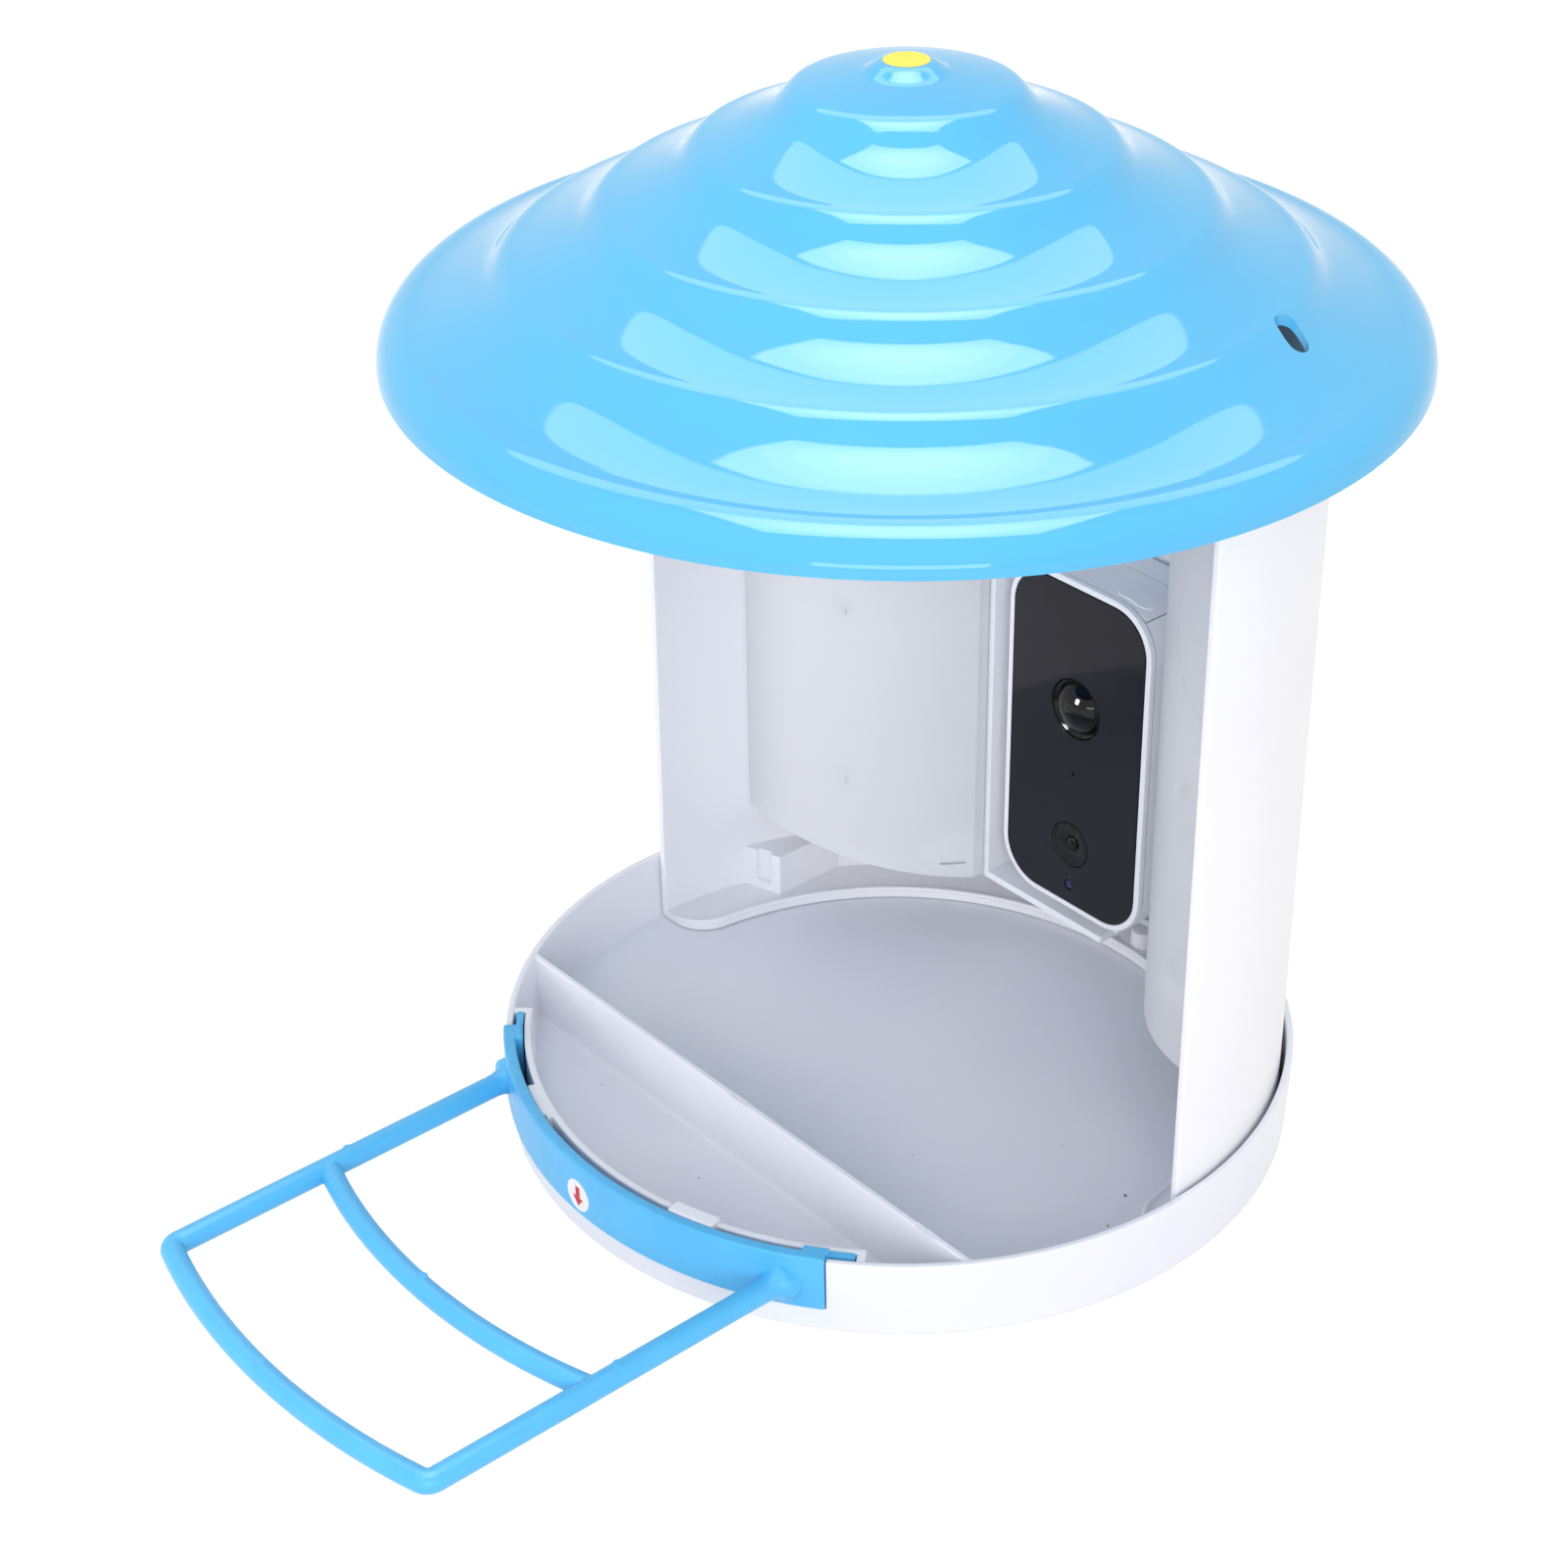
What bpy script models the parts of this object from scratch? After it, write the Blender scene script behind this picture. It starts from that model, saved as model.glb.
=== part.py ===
"""A round bird feeder with a camera in its back wall, built piece by piece.

Frame: metres, +Z up, the perch points to -Y, and the origin is the middle of the tray's underside.
Each piece is one object. The camera's pieces hang on an empty at the middle of the camera's face.
"""
import math

import bmesh
import bpy
from mathutils import Matrix, Vector

# Fits that the whole model shares
GAP = 0.0003
OVERRUN = 0.002
WELD = 0.00001

# How finely round shapes are cut into flats
ROOF_FLATS = 48
TRAY_FLATS = 64
HALF_WALL_FLATS = 36
ARC_FLATS = 14
CORNER_FLATS = 4
ROUND_FLATS = 20
SMALL_FLATS = 12
SCREW_FLATS = 8

# Tray
TRAY_RADIUS = 0.100
TRAY_TAPER = 0.0008
RIM_HEIGHT = 0.021
RIM_WALL = 0.0018
FLOOR = 0.0020
FLOOR_FILLET = 0.0015
PARTITION_DISTANCE = 0.0535
PARTITION_WALL = 0.0018
SLOT_WIDTH = 0.0029
SLOT_WALL = 0.0018
SLOT_FLOOR_HEIGHT = 0.0067
SLOT_RIB = 0.0022
GUIDE_LENGTH = 0.0130
GUIDE_ANGLES = (math.radians(-19.5), math.radians(17.4))
CLIP_RISE = 0.0008
CLIP_WIDTH = 0.0042

# Perch
PLATE_HALF_ANGLE = math.radians(37.8)
PLATE_THICKNESS = 0.0030
PLATE_PROUD = 0.0005
PLATE_RISE = 0.0010
TONGUE_LENGTH = 0.0068
TONGUE_OVERLAP = 0.0060
TONGUE_THICKNESS = 0.0017
RAIL_DIAMETER = 0.0058
RAIL_INSET = 0.0094
RAIL_HEIGHT = 0.0130
RAIL_LENGTH = 0.0835
RAIL_FLARE = 0.0022
RAIL_FLARE_LENGTH = 0.0060
RAIL_CORNER = 0.0024
OUTER_BOW = 0.0075
MIDDLE_BAR_DIAMETER = 0.0056
MIDDLE_BAR_SETBACK = 0.0445
MIDDLE_BOW = 0.0085

# Half-round wall and its flange
WALL_CLEARANCE = 0.0012
WALL_THICKNESS = 0.0020
WALL_TOP = 0.2130
FLANGE_WIDTH = 0.0140
FLANGE_THICKNESS = 0.0020
FLANGE_END_ROUND = 0.0095
FLANGE_END_ANGLE = math.radians(7.0)
BEAD_INSET = 0.0003
BEAD_WIDTH = 0.0013
BEAD_HEIGHT = 0.0009
POST_DIAMETER = 0.0066
POST_HEIGHT = 0.0050
POST_ANGLE = math.radians(87.4)
POST_INSET = 0.0080

# Blocks at the flange's two ends
BLOCK_HEIGHT = 0.0122
BLOCK_WIDTH = 0.0112
BLOCK_FRONT_Y = 0.0291
BLOCK_SLANT = math.radians(19.0)
BLOCK_GROOVE_WIDTH = 0.0045
BLOCK_GROOVE_DEPTH = 0.0015
BLOCK_GROOVE_HEIGHT = 0.0095
BLOCK_GROOVE_SHARE = 0.45

# Hopper bins: the window meets the pocket's side and the wall, and bulges between them
BIN_PROUD = 0.00314
BIN_WALL_ANGLE = math.radians(16.73)
BIN_BULGE = 0.00891
BIN_SKIN = 0.0018
BIN_FLOOR = 0.0018
BIN_FLOOR_SLOPE = 0.17
BIN_TOP = 0.2120
PORT_LENGTH = 0.0180
PORT_WIDTH = 0.0140
PORT_INSET = 0.0030
FOOT_SLOT_WIDTH = 0.0072
FOOT_SLOT_HEIGHT = 0.0032
FOOT_SLOT_RISE = 0.0006
FOOT_SLOT_INSET = 0.0033
TUBE_INSET = 0.0360
TUBE_HEIGHTS = (0.0494, 0.1010)
TUBE_DIAMETER = 0.0054
TUBE_LENGTH = 0.0176
STAND_OFF_DIAMETER = 0.0084
STAND_OFF_WEB = 0.0025

# Screws that hold the bins and the pocket to the wall
SCREW_SHANK = 0.0028
SCREW_HOLE = 0.0034
SCREW_HEAD = 0.0052
SCREW_HEAD_HOLE = 0.0060
SCREW_HEAD_HEIGHT = 0.0020
SCREW_BITE = 0.0090

# Screws that hold the flange to the tray, heads let into the tray's underside
FLOOR_SCREW_HEAD_HEIGHT = 0.0010
FLOOR_SCREW_BITE = 0.0050

# Camera pocket
POCKET_HALF_WIDTH = 0.0307
POCKET_CLEARANCE = 0.00067
POCKET_WALL = 0.0018
SHELF_TOP = 0.0221
SHELF_THICKNESS = 0.0020
NOTCH_LEFT = 0.0120
NOTCH_DEPTH = 0.0150
GUIDE_RIB = 0.0015
GUIDE_RIB_SETBACKS = (0.0120, 0.0205)
GUIDE_RIB_DROP = 0.0045
BEARER_RISE = 0.0034
BEARER_SPACING = 0.0240
BEARER_SETBACK = 0.0055
BEARER_LENGTH = 0.0180
POCKET_BOSS_DIAMETER = 0.0070
POCKET_SCREW_HEIGHTS = (0.0600, 0.1600)

# Roof
ROOF_OVERHANG = 0.0210
ROOF_RISE = 0.0637
ROOF_SKIN = 0.0026
ROOF_RIM_DROP = 0.0055
CAP_RADIUS = 0.0234
CAP_DROP = 0.0050
KNOB_RADIUS = 0.0052
KNOB_EDGE = 0.0052
KNOB_DROP = 0.0022
BRIM_WIDTH = 0.0092
BRIM_DROP = 0.0095
STEP_COUNT = 4
STEP_SHARES = ((0.0, 0.0), (0.117, 0.126), (0.248, 0.380), (0.375, 0.548), (0.68, 0.813), (1.0, 1.0))
UNDERSIDE_SHARES = (0.07, 0.38)
SEAT_WIDTH = 0.0030
SKIRT_THICKNESS = 0.0018
SKIRT_DEPTH = 0.0060
HANG_HOLE_DIAMETER = 0.0076
HANG_HOLE_INSET = 0.0060
HANG_HOLE_ANGLE = math.radians(20.0)

# Camera: face and case
FACE_WIDTH = 0.0458
FACE_HEIGHT = 0.0929
FACE_CORNER = 0.0110
FACE_THICKNESS = 0.0010
CAMERA_PROUD = 0.0005
CASE_MARGIN = 0.0019
FRAME_RISE = 0.0002
FRAME_DEPTH = 0.0018
FRAME_LEDGE = 0.0035
CAMERA_DEPTH = 0.0258
CASE_WALL = 0.0030
CASE_BACK_ROUND = 0.0030
SEAL_INSET = 0.0020
SEAL_WIDTH = 0.0006
SEAL_THICKNESS = 0.0008

# Camera: what shows on the face, with levels above the face's lower edge
DOME_LEVEL = 0.05885
DOME_RING_RADIUS = 0.0082
DOME_RADIUS = 0.0071
DOME_HEIGHT = 0.0038
DOME_SINK = 0.0009
DOME_FLANGE = 0.0012
DOME_FLANGE_RADIUS = 0.0092
LENS_LEVEL = 0.01795
LENS_RING_RADIUS = 0.0062
LENS_CONE_RADIUS = 0.0055
LENS_CONE_DEPTH = 0.0010
LENS_GLASS_RADIUS = 0.0019
LENS_GLASS_BULGE = 0.0006
LENS_BARREL_RADIUS = 0.0046
LIGHT_LEVEL = 0.00535
LIGHT_RADIUS = 0.0012
MICROPHONE_LEVEL = 0.03965
MICROPHONE_RADIUS = 0.0005

# Camera: inside
BOARD_WIDTH = 0.0302
BOARD_MARGIN = 0.0024
BOARD_THICKNESS = 0.0016
BOARD_SETBACK = 0.0066
SENSOR_RADIUS = 0.0046
CHIP_SIZE = 0.0090
CHIP_THICKNESS = 0.0012
CHIP_DROPS = (0.0214, 0.0124)
BATTERY_WIDTH = 0.0320
BATTERY_THICKNESS = 0.0130
BATTERY_SCREW_CLEARANCE = 0.0036
BATTERY_SPEAKER_CLEARANCE = 0.0015
BATTERY_ROUND = 0.0020
SPEAKER_RADIUS = 0.0095
SPEAKER_THICKNESS = 0.0050
SPEAKER_LEVEL = 0.01345
CASE_SCREW_X = 0.0178
CASE_SCREW_INSET = 0.01535
CASE_SCREW_SHANK = 0.0022
CASE_SCREW_HEAD = 0.0040
CASE_SCREW_HEAD_HEIGHT = 0.0016
CASE_SCREW_BITE = 0.0060
CASE_BOSS_DIAMETER = 0.0046
CASE_SHOULDER_DIAMETER = 0.0068
CASE_WEB = 0.0020

# Camera: rubber port cover on the top, right behind the front frame and bent over the right corner
COVER_THICKNESS = 0.0009
COVER_WIDTH = 0.0134
COVER_LEFT = 0.0110
COVER_END_TURN = math.radians(41.0)
COVER_END_ROUND = 0.0024
GRIP_LENGTH = 0.0109
GRIP_WIDTH = 0.0068
GRIP_RISE = 0.0004
GRIP_RIGHT = 0.0187
GRIP_SETBACK = 0.0010
SOCKET_WIDTH = 0.0090
SOCKET_DEPTH = 0.0034
SOCKET_LENGTH = 0.0065
SOCKET_SHELL = 0.0004
SOCKET_X = -0.0030
BUTTON_RADIUS = 0.0016
BUTTON_X = 0.0075
BUTTON_TRAVEL = 0.0006
BUTTON_LENGTH = 0.0040
BUTTON_FLANGE = 0.0008
BUTTON_FLANGE_HEIGHT = 0.0006

# Places that follow from the sizes above
RIM_INNER_RADIUS = TRAY_RADIUS - RIM_WALL
RIM_MIDDLE_RADIUS = TRAY_RADIUS - (RIM_WALL + TRAY_TAPER) / 2
SLOT_WALL_RADIUS = RIM_INNER_RADIUS - SLOT_WIDTH
PLATE_RADIUS = TRAY_RADIUS + PLATE_PROUD
PLATE_INNER_RADIUS = PLATE_RADIUS - PLATE_THICKNESS
PERCH_BOTTOM = SLOT_FLOOR_HEIGHT + GAP
PERCH_TOP = RIM_HEIGHT + PLATE_RISE
TONGUE_INNER_RADIUS = SLOT_WALL_RADIUS + GAP
TONGUE_OUTER_RADIUS = TONGUE_INNER_RADIUS + TONGUE_THICKNESS
TONGUE_END_ANGLE = PLATE_HALF_ANGLE + TONGUE_LENGTH / TRAY_RADIUS
RAIL_SPACING = 2 * (PLATE_RADIUS * math.sin(PLATE_HALF_ANGLE) - RAIL_INSET)
RAIL_REACH = PLATE_RADIUS + RAIL_LENGTH
MIDDLE_BAR_DISTANCE = RAIL_REACH - MIDDLE_BAR_SETBACK
WALL_RADIUS = RIM_INNER_RADIUS - WALL_CLEARANCE
WALL_INNER_RADIUS = WALL_RADIUS - WALL_THICKNESS
WALL_BOTTOM = FLOOR + GAP
FLANGE_INNER_RADIUS = WALL_INNER_RADIUS - FLANGE_WIDTH
FLANGE_TOP = WALL_BOTTOM + FLANGE_THICKNESS
POCKET_OUTER_X = POCKET_HALF_WIDTH + POCKET_WALL
POCKET_CORNER_Y = math.sqrt(WALL_INNER_RADIUS ** 2 - POCKET_OUTER_X ** 2) - POCKET_CLEARANCE
POCKET_BACK_Y = POCKET_CORNER_Y - POCKET_WALL
FACE_Y = POCKET_BACK_Y - GAP - CAMERA_DEPTH
POCKET_FRONT_Y = FACE_Y + CAMERA_PROUD
BIN_WALL_RADIUS = WALL_INNER_RADIUS - GAP
BIN_POCKET_X = POCKET_OUTER_X + GAP
BIN_POCKET_Y = POCKET_FRONT_Y - BIN_PROUD
BIN_WALL_X = BIN_WALL_RADIUS * math.cos(BIN_WALL_ANGLE)
BIN_WALL_Y = BIN_WALL_RADIUS * math.sin(BIN_WALL_ANGLE)
BIN_CHORD = math.hypot(BIN_WALL_X - BIN_POCKET_X, BIN_WALL_Y - BIN_POCKET_Y)
BIN_BULGE_RADIUS = ((BIN_CHORD / 2) ** 2 + BIN_BULGE ** 2) / (2 * BIN_BULGE)
BIN_SETBACK_SHARE = (BIN_BULGE_RADIUS - BIN_BULGE) / BIN_CHORD
BIN_CENTRE_X = (BIN_POCKET_X + BIN_WALL_X) / 2 + (BIN_POCKET_Y - BIN_WALL_Y) * BIN_SETBACK_SHARE
BIN_CENTRE_Y = (BIN_POCKET_Y + BIN_WALL_Y) / 2 + (BIN_WALL_X - BIN_POCKET_X) * BIN_SETBACK_SHARE
TUBE_X = WALL_RADIUS - TUBE_INSET
CASE_WIDTH = FACE_WIDTH + 2 * CASE_MARGIN
CASE_HEIGHT = FACE_HEIGHT + 2 * CASE_MARGIN
CASE_CORNER = FACE_CORNER + CASE_MARGIN
CASE_FRONT = FRAME_RISE + FRAME_DEPTH + GAP
CASE_BOTTOM_Z = SHELF_TOP + BEARER_RISE + GAP
FACE_CENTRE_Z = CASE_BOTTOM_Z + CASE_HEIGHT / 2
GUIDE_RIB_TOP = CASE_BOTTOM_Z + CASE_HEIGHT - GUIDE_RIB_DROP
DOME_RISE = DOME_LEVEL - FACE_HEIGHT / 2
LENS_DROP = FACE_HEIGHT / 2 - LENS_LEVEL
LIGHT_DROP = FACE_HEIGHT / 2 - LIGHT_LEVEL
MICROPHONE_DROP = FACE_HEIGHT / 2 - MICROPHONE_LEVEL
CASE_SCREW_RISE = CASE_HEIGHT / 2 - CASE_SCREW_INSET
SPEAKER_DROP = FACE_HEIGHT / 2 - SPEAKER_LEVEL
BATTERY_TOP = CASE_SCREW_RISE - CASE_SHOULDER_DIAMETER / 2 - BATTERY_SCREW_CLEARANCE
BATTERY_BOTTOM = SPEAKER_RADIUS - SPEAKER_DROP + BATTERY_SPEAKER_CLEARANCE
ROOF_RADIUS = WALL_RADIUS + ROOF_OVERHANG
ROOF_BASE_Z = WALL_TOP - ROOF_RIM_DROP
HANG_HOLE_RADIUS = WALL_RADIUS - HANG_HOLE_INSET
STEP_PITCH = (ROOF_RADIUS - BRIM_WIDTH - CAP_RADIUS) / STEP_COUNT
STEP_FALL = (ROOF_RISE - CAP_DROP - BRIM_DROP) / STEP_COUNT
COVER_Y = CASE_FRONT + COVER_WIDTH / 2
PORT_Y = BOARD_SETBACK + BOARD_THICKNESS / 2
SOCKET_TOP = CASE_HEIGHT / 2 - COVER_THICKNESS - 2 * GAP
BOARD_TOP = SOCKET_TOP - SOCKET_LENGTH - GAP
BOARD_BOTTOM = -LIGHT_DROP - BOARD_MARGIN


# Scene, collections and materials

for old in list(bpy.data.objects):
    bpy.data.objects.remove(old, do_unlink=True)

pieces = bpy.data.collections.new("bird_feeder")
cutters = bpy.data.collections.new("cutters")
bpy.context.scene.collection.children.link(pieces)
bpy.context.scene.collection.children.link(cutters)


def make_material(name, colour, roughness, metallic=0.0, alpha=1.0):
    made = bpy.data.materials.new(name)
    made.use_nodes = True
    shader = made.node_tree.nodes["Principled BSDF"]
    shader.inputs["Base Color"].default_value = (*colour, 1.0)
    shader.inputs["Roughness"].default_value = roughness
    shader.inputs["Metallic"].default_value = metallic
    shader.inputs["Alpha"].default_value = alpha
    return made


WHITE = make_material("white_plastic", (0.86, 0.87, 0.90), 0.35)
BLUE = make_material("sky_blue_plastic", (0.13, 0.58, 0.94), 0.15)
MILKY = make_material("milky_plastic", (0.84, 0.85, 0.88), 0.30, alpha=0.6)
BLACK_GLOSS = make_material("black_gloss", (0.012, 0.012, 0.015), 0.08)
BLACK_MATT = make_material("black_matt", (0.015, 0.015, 0.017), 0.5)
DARK_GLASS = make_material("dark_glass", (0.01, 0.01, 0.02), 0.03)
VIOLET = make_material("light_window", (0.03, 0.02, 0.10), 0.2)
RUBBER = make_material("pale_rubber", (0.78, 0.79, 0.82), 0.6)
STEEL = make_material("steel", (0.35, 0.35, 0.37), 0.35, 1.0)
BOARD_GREEN = make_material("board_green", (0.02, 0.16, 0.07), 0.4)
BATTERY_GREY = make_material("battery_wrap", (0.30, 0.32, 0.35), 0.4)


# Modelling helpers

def add_object(name, mesh, material=None, parent=None):
    """A new object: a piece where it has a material, and otherwise a tool that cuts or joins."""
    made = bpy.data.objects.new(name, mesh)
    if material is None:
        cutters.objects.link(made)
        made.hide_render = True
        made.display_type = "WIRE"
    else:
        pieces.objects.link(made)
        mesh.materials.append(material)
    made.parent = parent
    return made


def add_pivot(name, location):
    """An empty on a moving group's axis, which carries the group's pieces."""
    pivot = bpy.data.objects.new(name, None)
    pieces.objects.link(pivot)
    pivot.location = location
    return pivot


def mesh_of(name, shape):
    """The mesh that a bmesh holds, with its faces turned outwards."""
    bmesh.ops.recalc_face_normals(shape, faces=shape.faces)
    mesh = bpy.data.meshes.new(name)
    shape.to_mesh(mesh)
    shape.free()
    return mesh


def evaluated_copy(source, name):
    """The mesh of a curve or of an object with modifiers, welded where its caps meet."""
    bpy.context.view_layer.update()
    depsgraph = bpy.context.evaluated_depsgraph_get()
    mesh = bpy.data.meshes.new_from_object(source.evaluated_get(depsgraph))
    mesh.name = name
    shape = bmesh.new()
    shape.from_mesh(mesh)
    bmesh.ops.remove_doubles(shape, verts=shape.verts, dist=WELD)
    bmesh.ops.recalc_face_normals(shape, faces=shape.faces)
    shape.to_mesh(mesh)
    shape.free()
    return mesh


def curve_to_piece(name, curve, location, material, parent):
    """Turn a curve into a piece or a tool that modifiers can work on."""
    guide = bpy.data.objects.new(name + "_curve", curve)
    cutters.objects.link(guide)
    guide.location = location
    mesh = evaluated_copy(guide, name)
    made = add_object(name, mesh, material, parent)
    made.matrix_world = guide.matrix_world.copy()
    bpy.data.objects.remove(guide, do_unlink=True)
    made.parent = parent
    return made


def flat_piece(name, outlines, low, high, material=None, parent=None):
    """A flat outline, with any holes in it, given a thickness from low to high along Z."""
    curve = bpy.data.curves.new(name, "CURVE")
    curve.dimensions = "2D"
    curve.fill_mode = "BOTH"
    curve.extrude = (high - low) / 2
    for outline in outlines:
        spline = curve.splines.new("POLY")
        spline.points.add(len(outline) - 1)
        for point, (across, along) in zip(spline.points, outline):
            point.co = (across, along, 0, 1)
        spline.use_cyclic_u = True
    return curve_to_piece(name, curve, (0, 0, (low + high) / 2), material, parent)


def standing_piece(name, outlines, front, back, material=None, parent=None):
    """The same, with the outline drawn in X and Z and the thickness along Y."""
    made = flat_piece(name, outlines, -back, -front, material, parent)
    made.data.transform(made.matrix_world)
    made.location = (0, 0, 0)
    made.rotation_euler = (math.radians(90), 0, 0)
    return made


def rod_piece(name, points, radius, material=None, parent=None):
    """A round bar along the points, with filled ends."""
    curve = bpy.data.curves.new(name, "CURVE")
    curve.dimensions = "3D"
    curve.bevel_depth = radius
    curve.bevel_resolution = 3
    curve.use_fill_caps = True
    spline = curve.splines.new("POLY")
    spline.points.add(len(points) - 1)
    for point, place in zip(spline.points, points):
        point.co = (*place, 1)
    return curve_to_piece(name, curve, (0, 0, 0), material, parent)


def box_piece(name, low, high, material=None, parent=None, rounding=0.0):
    """A block between two corners, its edges rounded where rounding is given."""
    shape = bmesh.new()
    bmesh.ops.create_cube(shape, size=1)
    size = Vector(high) - Vector(low)
    bmesh.ops.scale(shape, vec=size, verts=shape.verts)
    made = add_object(name, mesh_of(name, shape), material, parent)
    made.location = (Vector(high) + Vector(low)) / 2
    if rounding > 0:
        bevel = made.modifiers.new("rounding", "BEVEL")
        bevel.width = rounding
        bevel.segments = 3
    return made


def round_piece(name, start, end, radius, material=None, parent=None, flats=ROUND_FLATS, end_radius=None):
    """A cylinder, or a cone where end_radius is given, from start to end."""
    start = Vector(start)
    end = Vector(end)
    axis = end - start
    shape = bmesh.new()
    tip = radius if end_radius is None else end_radius
    bmesh.ops.create_cone(shape, cap_ends=True, segments=flats, radius1=radius, radius2=tip,
                          depth=axis.length)
    made = add_object(name, mesh_of(name, shape), material, parent)
    made.rotation_mode = "QUATERNION"
    made.rotation_quaternion = axis.to_track_quat("Z", "Y")
    made.location = (start + end) / 2
    return made


def turned_piece(name, profile, flats, material=None, parent=None, location=(0, 0, 0), facing_front=False):
    """A profile of (radius, height) points turned about Z, or about -Y where it faces the front."""
    shape = bmesh.new()
    closed = profile[0] == profile[-1]
    corners = profile[:-1] if closed else profile
    points = [shape.verts.new((radius, 0, height)) for radius, height in corners]
    if closed:
        points.append(points[0])
    for first, second in zip(points, points[1:]):
        shape.edges.new((first, second))
    mesh = bpy.data.meshes.new(name)
    shape.to_mesh(mesh)
    shape.free()
    made = add_object(name, mesh, material, parent)
    made.location = location
    if facing_front:
        made.rotation_euler = (math.radians(90), 0, 0)
    turning = made.modifiers.new("turning", "SCREW")
    turning.angle = math.tau
    turning.steps = flats
    turning.render_steps = flats
    turning.use_merge_vertices = True
    turning.merge_threshold = WELD
    return made


def boolean(target, tool, operation):
    step = target.modifiers.new(tool.name, "BOOLEAN")
    step.operation = operation
    step.solver = "EXACT"
    step.object = tool


def cut(target, *tools):
    for tool in tools:
        boolean(target, tool, "DIFFERENCE")


def join(target, *tools):
    for tool in tools:
        boolean(target, tool, "UNION")


def gather(name, members, material=None, parent=None):
    """One object from several that don't touch, such as a set of screws."""
    shape = bmesh.new()
    for member in members:
        mesh = evaluated_copy(member, name)
        mesh.transform(member.matrix_world)
        shape.from_mesh(mesh)
        bpy.data.meshes.remove(mesh)
        bpy.data.objects.remove(member, do_unlink=True)
    return add_object(name, mesh_of(name, shape), material, parent)


def shade_round(made, degrees=35):
    """Shade a round piece smooth, with its hard edges kept."""
    made.data.shade_smooth()
    made.data.set_sharp_from_angle(angle=math.radians(degrees))


# Outlines

def arc(radius, first, last, flats, centre=(0, 0)):
    """Points on a circle, from one angle to another. Angles count from +X towards +Y."""
    steps = [first + (last - first) * step / flats for step in range(flats + 1)]
    return [(centre[0] + radius * math.cos(angle), centre[1] + radius * math.sin(angle)) for angle in steps]


def ring_sector(inner, outer, first, last, flats):
    """A slice of a flat ring between two angles."""
    return arc(outer, first, last, flats) + arc(inner, last, first, flats)


def front_sector(inner, outer, left, right, flats=ARC_FLATS):
    """A slice of a flat ring whose angles count from the front, positive to the right."""
    front = -math.pi / 2
    return ring_sector(inner, outer, front + left, front + right, flats)


def rounded_rectangle(width, height, corner, centre=(0, 0), flats=CORNER_FLATS):
    """An upright rectangle with round corners."""
    across = width / 2 - corner
    along = height / 2 - corner
    outline = []
    for turn, (side, level) in enumerate(((1, 1), (-1, 1), (-1, -1), (1, -1))):
        first = turn * math.pi / 2
        middle = (centre[0] + side * across, centre[1] + level * along)
        outline += arc(corner, first, first + math.pi / 2, flats, middle)
    return outline


def rectangle(left, bottom, right, top):
    return [(left, bottom), (right, bottom), (right, top), (left, top)]


def half_chord(radius, offset):
    """Half the length of the chord that lies at an offset from a circle's centre."""
    return math.sqrt(max(radius * radius - offset * offset, 0))


# Tray: turned dish, partition, slot for the perch

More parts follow.
